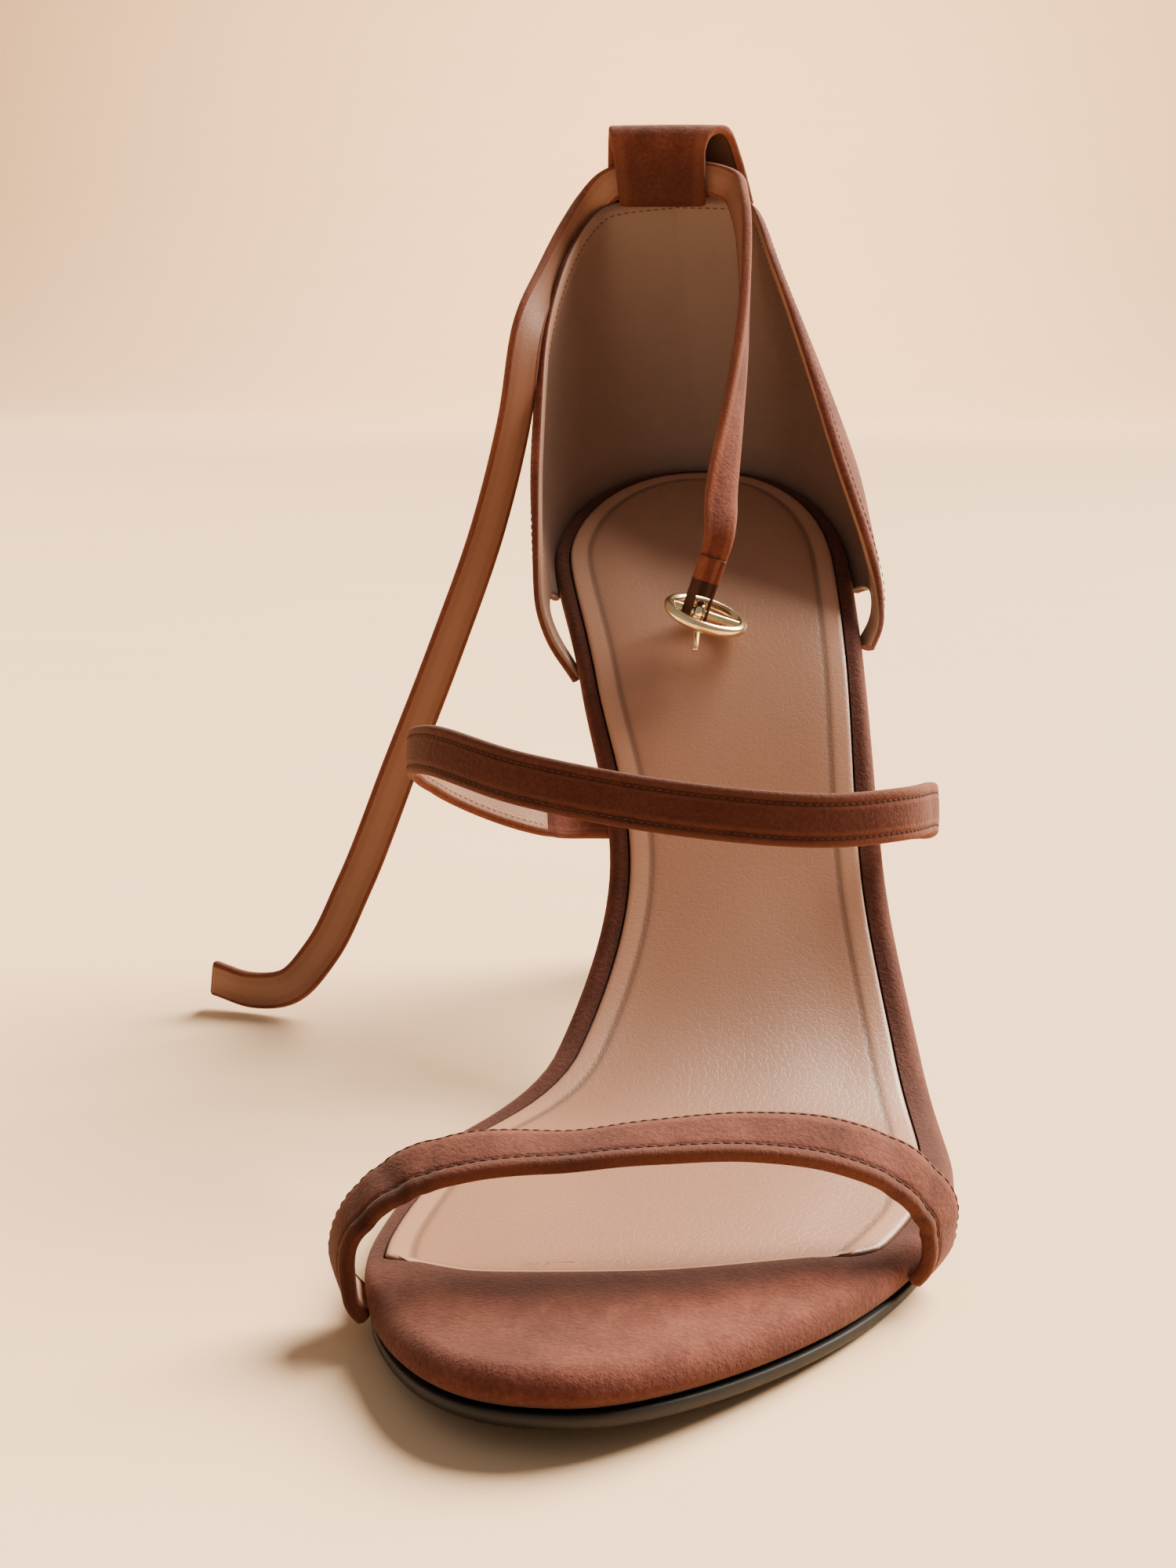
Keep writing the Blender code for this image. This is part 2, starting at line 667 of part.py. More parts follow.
def heel_edge_places(reach, side):
    """Places round the heel's edge by their way from the back, with their outward normals."""
    turn = np.linspace(0, math.pi / 2, 400)
    arc = BED_LENGTH - (BED_LENGTH - TOE_CAP_LATERAL) * (1 - np.cos(turn))
    line = np.stack([arc, sole_edge(arc, side)], axis=1)
    way = np.concatenate([[0], np.cumsum(np.linalg.norm(np.diff(line, axis=0), axis=1))])
    arc = np.interp(reach, way, line[:, 0])
    x = np.interp(reach, way, line[:, 1])
    ahead = np.asarray(reach) + 1
    ahead = np.interp(ahead, way, line[:, 0]), np.interp(ahead, way, line[:, 1])
    behind = np.maximum(np.asarray(reach) - 1, 0)
    behind = np.interp(behind, way, line[:, 0]), np.interp(behind, way, line[:, 1])
    along = np.stack([ahead[0] - behind[0], ahead[1] - behind[1]], axis=-1)
    normal = unit(np.stack([-along[..., 1], along[..., 0]], axis=-1)) * -side
    return arc, x, normal


def counter_columns(side, topline, bulges, notch, count):
    """Middle surface of one half of the counter, as columns from the sole's edge to the top edge."""
    reach = np.linspace(0, topline[-1].reach, count)
    arc, x, normal = heel_edge_places(reach, side)
    off = GAP + COUNTER_THICK / 2
    foot = FOOT.bend(arc + off * normal[:, 0], x + off * normal[:, 1], -COUNTER_FOOT_DEPTH)
    knots = column(topline, "reach")
    top = np.stack([smooth(knots, column(topline, axis), reach) for axis in "xyz"], axis=1)
    angle = np.interp(arc, FOOT.arc, FOOT.angle)
    out = unit(np.stack([normal[:, 1], normal[:, 0] * np.cos(angle), np.zeros(count)], axis=1))
    bulge = smooth(column(bulges, "reach"), column(bulges, "out"), reach)
    share = np.clip((reach - notch.start) / (notch.end - notch.start), 0, 1)
    low = NOTCH_SHARE * np.sin(math.pi * share)
    grid = np.empty((count, COUNTER_ROWS + 1, 3))
    for k in range(COUNTER_ROWS + 1):
        rise = (low + (1 - low) * k / COUNTER_ROWS)[:, None]
        grid[:, k] = foot + (top - foot) * rise + out * bulge[:, None] * 4 * rise * (1 - rise)
    return grid


def make_counter(material):
    """Closed back: a wall round the heel that runs out in two wings, cut away over the sole."""
    half = COUNTER_COLUMNS // 2 + 1
    inner = counter_columns(MEDIAL, TOPLINE_MEDIAL, BULGE_MEDIAL, NOTCH_MEDIAL, half)
    outer = counter_columns(LATERAL, TOPLINE_LATERAL, BULGE_LATERAL, NOTCH_LATERAL, half)
    middle = np.concatenate([inner[:0:-1], outer])
    normal = unit(np.cross(np.gradient(middle, axis=0), np.gradient(middle, axis=1)))
    mesh = bmesh.new()
    skins = []
    for sign in (-1, 1):
        skin = middle + sign * COUNTER_THICK / 2 * normal
        skins.append([add_ring(mesh, line) for line in skin])
    for skin in skins:
        for line, other in zip(skin, skin[1:]):
            bridge(mesh, line, other, closed=False)
    for k in (0, -1):
        bridge(mesh, [line[k] for line in skins[0]], [line[k] for line in skins[1]], closed=False)
        bridge(mesh, skins[0][k], skins[1][k], closed=False)
    return add_object("counter", mesh, material)


def make_strap_loop(material):
    """Tab folded forward over the ankle strap, its end turned in to the counter's lining."""
    radius = TAB_DEPTH / 2
    fold = [(0, TAB_FOOT), (0, (TAB_FOOT + TAB_SHOULDER) / 2)]
    for turn in np.radians(np.linspace(0, 180, 9)):
        fold.append((radius * (1 - math.cos(turn)), TAB_SHOULDER + radius * math.sin(turn)))
    fold += [(TAB_DEPTH, 157.2), (TAB_DEPTH, 154.3), (TAB_DEPTH - 0.3, 152.4), (TAB_DEPTH - 1.4, 151.1)]
    fold = np.array(fold)
    way = np.concatenate([[0], np.cumsum(np.linalg.norm(np.diff(fold, axis=0), axis=1))])
    shares = column(TAB_SIDES, "share")
    inner = smooth(shares, column(TAB_SIDES, "inner"), way / way[-1])
    outer = smooth(shares, column(TAB_SIDES, "outer"), way / way[-1])
    path = np.stack([np.zeros(len(fold)), TAB_BACK - fold[:, 0], fold[:, 1]], axis=1)
    across = np.broadcast_to(np.array([1.0, 0.0, 0.0]), path.shape)
    mesh = band_mesh(path, across, outer - inner, TAB_THICK, shift=(inner + outer) / 2)
    return add_object("strap_loop", mesh, material)


def buckle_axes():
    """The buckle's own directions: along its bar, up the strap, and to the back."""
    tilt = math.radians(BUCKLE_TILT)
    bar = np.array([math.cos(tilt), 0.0, -math.sin(tilt)])
    up = np.array([math.sin(tilt), 0.0, math.cos(tilt)])
    return bar, up, np.array([0.0, 1.0, 0.0])


def make_ankle_strap(material):
    """One strap from the buckle through the tab's tunnel to its loose tail."""
    bar, up, back = buckle_axes()
    heights = [CHAPE_SLOT_HEIGHT + GAP, CHAPE_HEIGHT * 0.6, CHAPE_HEIGHT * 0.8]
    heights += [CHAPE_HEIGHT, CHAPE_HEIGHT + 2]
    foot = np.array(BUCKLE_CENTRE) + CHAPE_SHIFT * bar
    sewn = [(*(foot + height * up), -180) for height in heights]
    line = curve_through([*sewn, *ANKLE_STRAP], 84)
    facing = np.radians(line[:, 3])
    face = np.stack([np.sin(facing), -np.cos(facing), np.zeros(len(line))], axis=1)
    along = unit(np.gradient(line[:, :3], axis=0))
    width = np.linspace(ANKLE_STRAP_WIDTH, ANKLE_TAIL_WIDTH, len(line))
    mesh = band_mesh(line[:, :3], np.cross(along, face), width, STRAP_THICK)
    return add_object("ankle_strap", mesh, material)


def make_chape(material):
    """Fold of leather round the buckle's bar, slotted for the prong."""
    bar, up, back = buckle_axes()
    radius = BAR_RADIUS + GAP + CHAPE_THICK / 2
    fold = [(radius, CHAPE_HEIGHT), (radius, CHAPE_HEIGHT / 2)]
    for turn in np.radians(np.linspace(0, 180, 11)):
        fold.append((radius * math.cos(turn), -radius * math.sin(turn)))
    fold += [(-radius, CHAPE_HEIGHT / 2), (-radius, CHAPE_HEIGHT)]
    middle = np.array(BUCKLE_CENTRE) + CHAPE_SHIFT * bar
    path = np.array([middle + depth * back + rise * up for depth, rise in fold])
    mesh = band_mesh(path, np.broadcast_to(bar, path.shape), CHAPE_WIDTH, CHAPE_THICK, 0.2)
    chape = add_object("buckle_chape", mesh, material)
    reach, top = 2 * radius, CHAPE_SLOT_HEIGHT
    corners = []
    for along in (PRONG_SHIFT - CHAPE_SLOT / 2, PRONG_SHIFT + CHAPE_SLOT / 2):
        for depth, rise in ((-reach, -reach), (reach, -reach), (reach, top), (-reach, top)):
            corners.append(np.array(BUCKLE_CENTRE) + along * bar + depth * back + rise * up)
    cut_with(chape, box_from_corners("chape_slot_cutter", corners), "DIFFERENCE")
    return chape


def box_from_corners(name, corners):
    """Box from two rings of four corners."""
    mesh = bmesh.new()
    rings = [add_ring(mesh, corners[:4]), add_ring(mesh, corners[4:])]
    bridge(mesh, *rings)
    mesh.faces.new(rings[0])
    mesh.faces.new(rings[1])
    return add_object(name, mesh, bpy.data.materials[0])


def cut_with(piece, tool, operation):
    """Boolean with a hidden tool object."""
    tool.hide_render = True
    tool.display_type = "WIRE"
    modifier = piece.modifiers.new(tool.name, "BOOLEAN")
    modifier.operation = operation
    modifier.object = tool


def make_buckle_frame(material):
    """Oval frame with its middle bar."""
    bar, up, back = buckle_axes()
    centre = np.array(BUCKLE_CENTRE)
    turns = np.linspace(0, 2 * math.pi, 40, endpoint=False)
    pitch = math.radians(FRAME_PITCH)
    half_length = FRAME_HALF_LENGTH * bar
    half_width = FRAME_HALF_WIDTH * (math.cos(pitch) * back + math.sin(pitch) * up)
    oval = np.array([centre + math.cos(t) * half_length + math.sin(t) * half_width for t in turns])
    ring = tube_mesh(oval, FRAME_WIRE, closed=True)
    frame = add_object("buckle_frame", ring, material, BUCKLE_CENTRE)
    ends = np.array([centre - FRAME_HALF_LENGTH * bar, centre + FRAME_HALF_LENGTH * bar])
    middle = add_object("buckle_bar_tool", tube_mesh(ends, BAR_RADIUS, sides=12), material)
    cut_with(frame, middle, "UNION")
    return frame


def make_buckle_prong(material):
    """Prong: an eye round the bar and a tapered pin that hangs over the frame's front."""
    bar, up, back = buckle_axes()
    centre = np.array(BUCKLE_CENTRE) + PRONG_SHIFT * bar
    mesh = bmesh.new()
    turns = np.linspace(0, 2 * math.pi, 20, endpoint=False)
    rings = []
    eye = ((-1, PRONG_EYE_OUTER), (1, PRONG_EYE_OUTER), (1, BAR_RADIUS + GAP), (-1, BAR_RADIUS + GAP))
    for side, radius in eye:
        at = centre + side * PRONG_EYE_WIDTH / 2 * bar
        rings.append(add_ring(mesh, [at + radius * (math.cos(t) * back + math.sin(t) * up) for t in turns]))
    for k, ring in enumerate(rings):
        bridge(mesh, ring, rings[(k + 1) % len(rings)])
    prong = add_object("buckle_prong", mesh, material, BUCKLE_CENTRE)
    drop = math.radians(PRONG_DROP)
    way = unit(math.tan(math.radians(PRONG_SKEW)) * bar - math.cos(drop) * back - math.sin(drop) * up)
    root = (BAR_RADIUS + GAP + PRONG_EYE_OUTER) / 2
    path = np.array([centre + way * reach for reach in np.linspace(root, PRONG_LENGTH, 5)])
    radii = np.linspace(PRONG_ROOT_RADIUS, PRONG_TIP_RADIUS, 5)
    pin = add_object("prong_pin_tool", tube_mesh(path, radii), material)
    cut_with(prong, pin, "UNION")
    return prong


def main():
    """Builds every piece of the shoe."""
    for old in list(bpy.data.objects):
        bpy.data.objects.remove(old)
    suede = finish("brown_suede", (0.205, 0.068, 0.040), 0.95)
    leather = finish("taupe_leather", (0.47, 0.29, 0.20), 0.45)
    black = finish("black_sole", (0.012, 0.013, 0.016), 0.35)
    dark = finish("dark_leather", (0.05, 0.022, 0.015), 0.8)
    gold = finish("pale_gold", (0.86, 0.64, 0.36), 0.18, 1.0)
    make_outsole(black)
    make_insole(suede)
    make_sock(leather)
    make_heel(suede)
    make_heel_tip(black)
    make_toe_strap(suede)
    make_instep_strap(suede)
    make_counter(suede)
    make_strap_loop(suede)
    make_ankle_strap(suede)
    make_chape(dark)
    make_buckle_frame(gold)
    make_buckle_prong(gold)


main()
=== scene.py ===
"""Looks of a high heel sandal for the left foot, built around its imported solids.

Sizes are in millimetres and become metres when a mesh is made. The toe points to -Y, the outer side
of the foot to +X, and the origin is on the floor under the middle of the forefoot's tread.
"""
from __future__ import annotations

import logging
import math
from dataclasses import dataclass
from enum import Enum
from typing import Any, NamedTuple, Sequence

import bmesh
import bpy
import numpy as np
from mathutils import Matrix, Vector

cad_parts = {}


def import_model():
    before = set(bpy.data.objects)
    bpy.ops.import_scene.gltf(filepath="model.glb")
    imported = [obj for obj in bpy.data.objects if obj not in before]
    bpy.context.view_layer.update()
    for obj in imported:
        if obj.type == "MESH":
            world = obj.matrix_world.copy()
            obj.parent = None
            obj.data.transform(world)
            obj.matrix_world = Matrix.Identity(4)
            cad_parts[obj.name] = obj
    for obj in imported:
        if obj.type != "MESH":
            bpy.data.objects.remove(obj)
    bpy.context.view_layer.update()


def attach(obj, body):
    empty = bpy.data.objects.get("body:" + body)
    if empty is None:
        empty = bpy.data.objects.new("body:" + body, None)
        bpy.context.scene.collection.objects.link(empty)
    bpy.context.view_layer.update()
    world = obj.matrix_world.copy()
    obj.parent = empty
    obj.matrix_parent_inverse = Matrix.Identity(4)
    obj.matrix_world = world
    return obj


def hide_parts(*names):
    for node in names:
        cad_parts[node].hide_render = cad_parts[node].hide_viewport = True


LOG = logging.getLogger("sandal")
MM = 0.001
# Room between glued pieces, in millimetres.
GAP = 0.3
# Numbers of sockets that share their name with others of the node.
OBJECT_OUTPUT, NUMBER_OUTPUT = 3, 2
MIX_FIRST, MIX_SECOND, MIX_OUTPUT = 6, 7, 2
Triple = tuple[float, float, float]
Colour = Triple


class Side(Enum):
    """Side of the left foot, as the sign of its X direction."""

    INNER = -1
    OUTER = 1


class Body(Enum):
    """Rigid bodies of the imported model."""

    SHOE = "shoe"
    BUCKLE = "buckle"
    PRONG = "prong"


class Slot(Enum):
    """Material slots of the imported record."""

    SUEDE = "brown_suede"
    LEATHER = "taupe_leather"
    SOLE = "black_sole"
    DARK = "dark_leather"
    GOLD = "pale_gold"


class Value:
    """A shader socket that takes part in Python expressions."""

    def __init__(self, graph: "Graph", socket: bpy.types.NodeSocket) -> None:
        """Keeps the socket with the graph that it belongs to."""
        self.graph = graph
        self.socket = socket

    def __add__(self, other: "Value | float") -> "Value":
        """Sum."""
        return self.graph.math("ADD", self, other)

    def __sub__(self, other: "Value | float") -> "Value":
        """Difference."""
        return self.graph.math("SUBTRACT", self, other)

    def __rsub__(self, other: float) -> "Value":
        """Difference from a number."""
        return self.graph.math("SUBTRACT", other, self)

    def __mul__(self, other: "Value | float") -> "Value":
        """Product."""
        return self.graph.math("MULTIPLY", self, other)

    __radd__ = __add__
    __rmul__ = __mul__


class Graph:
    """Node graph of one material."""

    def __init__(self, name: str) -> None:
        """Makes a material with its Principled shader.

        Args:
            name: name of the material.
        """
        self.material = bpy.data.materials.new(name)
        self.material.use_nodes = True
        self.tree = self.material.node_tree
        self.shader = self.tree.nodes["Principled BSDF"]

    def node(self, kind: str, settings: dict[str, Any], inputs: dict[Any, Any], output: int = 0) -> Value:
        """Adds any node.

        Args:
            kind: type of the node.
            settings: its properties; "stops" holds the places and colours of a ramp.
            inputs: values or links of its sockets, by name or number.
            output: number of the socket to return.

        Returns:
            The chosen output.
        """
        made = self.tree.nodes.new(kind)
        for name, value in settings.items():
            if name == "stops":
                ramp = made.color_ramp.elements
                while len(ramp) < len(value):
                    ramp.new(0.5)
                for stop, (place, colour) in zip(ramp, value):
                    stop.position = place
                    stop.color = (*colour, 1.0)
            else:
                setattr(made, name, value)
        for name, value in inputs.items():
            if isinstance(value, Value):
                self.tree.links.new(value.socket, made.inputs[name])
            else:
                made.inputs[name].default_value = value
        return Value(self, made.outputs[output])

    def math(
        self, operation: str, first: "Value | float", second: "Value | float", clamp: bool = False
    ) -> Value:
        """Adds one Math node and returns its result."""
        settings = {"operation": operation, "use_clamp": clamp}
        return self.node("ShaderNodeMath", settings, {0: first, 1: second})

    def coords(self, scale: Triple = (1.0, 1.0, 1.0), turn: Triple = (0.0, 0.0, 0.0)) -> Value:
        """Object coordinates, stretched and turned by a Mapping node."""
        place = self.node("ShaderNodeTexCoord", {}, {}, OBJECT_OUTPUT)
        return self.node("ShaderNodeMapping", {}, {"Vector": place, "Scale": scale, "Rotation": turn})

    def noise(self, place: Value, scale: float, detail: float = 2.0, rough: float = 0.5) -> Value:
        """Noise between 0 and 1."""
        inputs = {"Vector": place, "Scale": scale, "Detail": detail, "Roughness": rough}
        return self.node("ShaderNodeTexNoise", {}, inputs)

    def attribute(self, name: str) -> Value:
        """A piece's own number, stored on its points."""
        return self.node("ShaderNodeAttribute", {"attribute_name": name}, {}, NUMBER_OUTPUT)

    def ramp(self, factor: Value, stops: Sequence[tuple[float, Colour]]) -> Value:
        """Colour ramp."""
        return self.node("ShaderNodeValToRGB", {"stops": stops}, {0: factor})

    def mix(self, factor: "Value | float", first: "Value | Colour", second: "Value | Colour") -> Value:
        """Mix of two colours.

        Args:
            factor: share of the second colour.
            first: colour at 0.
            second: colour at 1.

        Returns:
            The mixed colour.
        """
        colours = [c if isinstance(c, Value) else (*c, 1.0) for c in (first, second)]
        inputs = {0: factor, MIX_FIRST: colours[0], MIX_SECOND: colours[1]}
        return self.node("ShaderNodeMix", {"data_type": "RGBA"}, inputs, MIX_OUTPUT)

    def bump(self, height: Value, distance: float, strength: float) -> Value:
        """Bump normal from a height."""
        return self.node("ShaderNodeBump", {}, {"Height": height, "Distance": distance, "Strength": strength})

    def shade(self, **sockets: Any) -> bpy.types.Material:
        """Fills the shader's sockets, with underscores for the spaces of their names.

        Args:
            sockets: numbers, colours or values by socket name.

        Returns:
            The finished material.
        """
        for name, value in sockets.items():
            socket = self.shader.inputs[name.replace("_", " ")]
            if isinstance(value, Value):
                self.tree.links.new(value.socket, socket)
            elif isinstance(value, tuple) and len(value) == 3:
                socket.default_value = (*value, 1.0)
            else:
                socket.default_value = value
        return self.material


@dataclass(frozen=True)
class SuedeFinish:
    """Napped suede: brushed patches, fibres and a soft sheen; painted shade, broken up by patches and
    strokes, where a piece's shadow attribute says so.
    """

    name: str = "suede_nap"
    deep: Colour = (0.042, 0.0108, 0.0072)
    middle: Colour = (0.098, 0.0258, 0.0165)
    brushed: Colour = (0.178, 0.0575, 0.0375)
    rubbed: Colour = (0.27, 0.092, 0.054)
    # Colour of painted shade, which the shadow attribute mixes in.
    painted_shade: Colour = (0.012, 0.0038, 0.0026)
    edge_wear: float = 0.3
    patch_scale: float = 70.0
    stroke_scale: float = 320.0
    stroke_stretch: Triple = (1.0, 0.4, 0.6)
    stroke_turn: Triple = (0.3, 0.5, 0.4)
    nap_scale: float = 1500.0
    fibre_scale: float = 3600.0
    fleck_level: float = 0.64
    fleck_share: float = 0.30
    painted_shade_most: float = 0.9
    nap_depth: float = 0.00035
    sheen: float = 0.10
    sheen_tint: Colour = (0.9, 0.62, 0.5)

    def material(self) -> bpy.types.Material:
        """Builds the node graph.

        Returns:
            The finished material.
        """
        graph = Graph(self.name)
        place = graph.coords()
        brushed = graph.coords(self.stroke_stretch, self.stroke_turn)
        patch = graph.noise(place, self.patch_scale, 3.0, 0.55)
        stroke = graph.noise(brushed, self.stroke_scale, 3.0, 0.6)
        nap = graph.noise(place, self.nap_scale, 2.0, 0.6)
        fibre = graph.noise(place, self.fibre_scale, 1.0, 0.5)
        tone = patch * 0.42 + stroke * 0.30 + nap * 0.28
        colour = graph.ramp(tone, ((0.30, self.deep), (0.49, self.middle), (0.70, self.brushed)))
        fleck = graph.math("GREATER_THAN", fibre, self.fleck_level)
        colour = graph.mix(fleck * self.fleck_share, colour, self.deep)
        colour = graph.mix(graph.attribute("margin") * self.edge_wear, colour, self.rubbed)
        # Painted shade where the shadow attribute asks, broken up by patches and strokes, up to a limit.
        patchy_shade = graph.attribute("shadow") * (0.30 + patch * 0.55 + stroke * 0.55)
        colour = graph.mix(graph.math("MINIMUM", patchy_shade, self.painted_shade_most), colour, self.painted_shade)
        height = nap * 0.55 + fibre * 0.25 + stroke * 0.35
        return graph.shade(
            Base_Color=colour,
            Roughness=0.95 - nap * 0.1,
            Specular_IOR_Level=0.18,
            Sheen_Weight=self.sheen,
            Sheen_Roughness=0.45,
            Sheen_Tint=self.sheen_tint,
            Normal=graph.bump(height, self.nap_depth, 0.8),
        )


@dataclass(frozen=True)
class LeatherFinish:
    """Smooth leather with a fine grain; its margin may be paler than its middle; painted shade where its
    shadow attribute says so.
    """

    name: str
    colour: Colour
    margin: Colour
    rough: float
    grain: float = 0.00006
    mottle: float = 0.12
    coat: float = 0.0
    specular: float = 0.45
    grain_scale: float = 1700.0
    cell_share: float = 0.55
    cloud_scale: float = 45.0
    crevice_shade_share: float = 0.16

    def material(self) -> bpy.types.Material:
        """Builds the node graph.

        Returns:
            The finished material.
        """
        graph = Graph(self.name)
        place = graph.coords()
        cloud = graph.noise(place, self.cloud_scale, 3.0, 0.55)
        pore = graph.noise(place, self.grain_scale, 2.0, 0.55)
        cells = {"Vector": place, "Scale": self.grain_scale * self.cell_share}
        crackle = graph.node("ShaderNodeTexVoronoi", {"feature": "DISTANCE_TO_EDGE"}, cells)
        base = graph.mix(graph.attribute("margin"), self.colour, self.margin)
        darker = tuple(c * (1 - 2.2 * self.mottle) for c in self.colour)
        base = graph.mix(graph.math("MULTIPLY", cloud, self.mottle * 2.0, True), base, darker)
        # Painted shade: the shadow attribute darkens the leather towards this colour.
        crevice_shade = tuple(c * self.crevice_shade_share for c in self.colour)
        base = graph.mix(graph.attribute("shadow") * 0.8, base, crevice_shade)
        height = pore * 0.6 + graph.math("MINIMUM", crackle * 6.0, 0.5)
        return graph.shade(
            Base_Color=base,
            Roughness=self.rough + (pore - 0.5) * 0.16 + (cloud - 0.5) * 0.14,
            Specular_IOR_Level=self.specular,
            Coat_Weight=self.coat,
            Coat_Roughness=0.3,
            Normal=graph.bump(height, self.grain, 0.6),
        )


@dataclass(frozen=True)
class SoleFinish:
    """Black sole: an inked edge of low gloss, with fine scuffs."""

    name: str = "black_polished_sole"
    colour: Colour = (0.004, 0.0038, 0.0042)
    worn: Colour = (0.010, 0.009, 0.0095)

    def material(self) -> bpy.types.Material:
        """Builds the node graph.

        Returns:
            The finished material.
        """
        graph = Graph(self.name)
        place = graph.coords()
        scuff = graph.noise(graph.coords((1.0, 6.0, 6.0)), 90.0, 4.0, 0.65)
        speck = graph.noise(place, 1600.0, 2.0, 0.5)
        colour = graph.mix(graph.math("MULTIPLY", scuff, 0.5, True), self.colour, self.worn)
        return graph.shade(
            Base_Color=colour,
            Roughness=0.46 + scuff * 0.22,
            Specular_IOR_Level=0.3,
            Normal=graph.bump(speck, 0.00004, 0.5),
        )


@dataclass(frozen=True)
class GoldFinish:
    """Polished pale gold plate with faint rubbing marks."""

    name: str = "polished_pale_gold"
    colour: Colour = (0.92, 0.72, 0.43)
    tarnish: Colour = (0.66, 0.45, 0.22)

    def material(self) -> bpy.types.Material:
        """Builds the node graph.

        Returns:
            The finished material.
        """
        graph = Graph(self.name)
        place = graph.coords()
        cloud = graph.noise(place, 420.0, 3.0, 0.6)
        rub = graph.noise(graph.coords((1.0, 8.0, 8.0)), 900.0, 3.0, 0.6)
        return graph.shade(
            Base_Color=graph.mix(graph.math("MULTIPLY", cloud, 0.45, True), self.colour, self.tarnish),
            Metallic=1.0,
            Roughness=0.14 + rub * 0.14,
            Normal=graph.bump(rub, 0.00002, 0.4),
        )


@dataclass(frozen=True)
class ThreadFinish:
    """Twisted sewing thread."""

    name: str
    colour: Colour
    dark: Colour

    def material(self) -> bpy.types.Material:
        """Builds the node graph.

        Returns:
            The finished material.
        """
        graph = Graph(self.name)
        twist = graph.noise(graph.coords((1.0, 1.0, 2.5)), 2600.0, 2.0, 0.6)
        return graph.shade(
            Base_Color=graph.mix(twist, self.dark, self.colour),
            Roughness=0.8,
            Specular_IOR_Level=0.2,
            Normal=graph.bump(twist, 0.00006, 0.6),
        )


@dataclass(frozen=True)
class FloorFinish:
    """Plain pale paper."""

    name: str = "pale_paper"
    colour: Colour = (0.86, 0.60, 0.385)
    shade_colour: Colour = (0.83, 0.565, 0.35)

    def material(self) -> bpy.types.Material:
        """Builds the node graph.

        Returns:
            The finished material.
        """
        graph = Graph(self.name)
        cloud = graph.noise(graph.coords((1.0, 4.0, 1.0)), 6.0, 3.0, 0.5)
        return graph.shade(
            Base_Color=graph.mix(cloud, self.colour, self.shade_colour),
            Roughness=0.75,
            Specular_IOR_Level=0.2,
        )


class Finishes:
    """All finishes of the shoe, made once."""

    def __init__(self) -> None:
        """Builds every material."""
        self.suede = SuedeFinish().material()
        self.sock = LeatherFinish(
            "taupe_sock_leather", (0.30, 0.146, 0.091), (0.39, 0.20, 0.128), 0.39, coat=0.08
        ).material()
        self.lining = LeatherFinish(
            "counter_lining_leather", (0.168, 0.101, 0.080), (0.37, 0.195, 0.125), 0.5
        ).material()
        self.strap_lining = LeatherFinish(
            "cream_strap_lining", (0.40, 0.225, 0.15), (0.33, 0.17, 0.11), 0.5
        ).material()
        self.tail_lining = LeatherFinish(
            "tan_strap_lining", (0.235, 0.106, 0.062), (0.205, 0.085, 0.046), 0.55
        ).material()
        # Near-black: the fold at the buckle's bar, and painted shade inside the tab's tunnel.
        self.dark = LeatherFinish(
            "dark_fold_leather", (0.024, 0.0095, 0.0065), (0.05, 0.022, 0.015), 0.7, specular=0.12
        ).material()
        self.sole = SoleFinish().material()
        self.gold = GoldFinish().material()
        self.thread = ThreadFinish("brown_thread", (0.085, 0.028, 0.018), (0.030, 0.010, 0.007)).material()
        self.pale_thread = ThreadFinish("cream_thread", (0.60, 0.42, 0.31), (0.36, 0.23, 0.16)).material()


def smooth(knots: Sequence[float], values: Sequence[float], at: Any) -> np.ndarray:
    """Monotone cubic through a table's rows.

    Args:
        knots: rising places of the rows.
        values: the rows' values.
        at: places to read.

    Returns:
        The values there, with no overshoot between rows.
    """
    knots = np.asarray(knots, float)
    values = np.asarray(values, float)
    step = np.diff(knots)
    rate = np.diff(values) / step
    slope = np.empty_like(values)
    slope[0], slope[-1] = rate[0], rate[-1]
    same = rate[:-1] * rate[1:] > 0
    before = 2 * step[1:] + step[:-1]
    after = step[1:] + 2 * step[:-1]
    low, high = np.where(same, rate[:-1], 1), np.where(same, rate[1:], 1)
    slope[1:-1] = np.where(same, (before + after) / (before / low + after / high), 0)
    at = np.clip(np.asarray(at, float), knots[0], knots[-1])
    i = np.clip(np.searchsorted(knots, at) - 1, 0, len(step) - 1)
    t = (at - knots[i]) / step[i]
    rise = (values[i + 1] - values[i]) * (3 - 2 * t) * t * t
    turn = slope[i] * step[i] * t * (1 - t) ** 2 - slope[i + 1] * step[i] * t * t * (1 - t)
    return values[i] + rise + turn


def column(table: Sequence[NamedTuple], name: str) -> list[float]:
    """One named column of a table."""
    return [getattr(row, name) for row in table]


def unit(vectors: Any) -> np.ndarray:
    """Vectors scaled to length 1, row by row."""
    vectors = np.asarray(vectors, float)
    return vectors / np.maximum(np.linalg.norm(vectors, axis=-1, keepdims=True), 1e-9)


def way_along(points: np.ndarray) -> np.ndarray:
    """Distance along a line of points."""
    return np.concatenate([[0], np.cumsum(np.linalg.norm(np.diff(points, axis=0), axis=1))])


def relaxed(line: np.ndarray, times: int) -> np.ndarray:
    """Eases a line's places towards their neighbours, and keeps its ends.

    Args:
        line: rows of numbers, changed in place.
        times: how often.

    Returns:
        The same rows.
    """
    for _ in range(times):
        line[1:-1] = line[1:-1] * 0.5 + (line[:-2] + line[2:]) * 0.25
    return line


def placed(name: str, data: Any) -> bpy.types.Object:
    """Makes an object of a mesh, light or camera and links it to the scene.

    Args:
        name: name of the object.
        data: its data.

    Returns:
        The new object.
    """
    made = bpy.data.objects.new(name, data)
    bpy.context.scene.collection.objects.link(made)
    return made


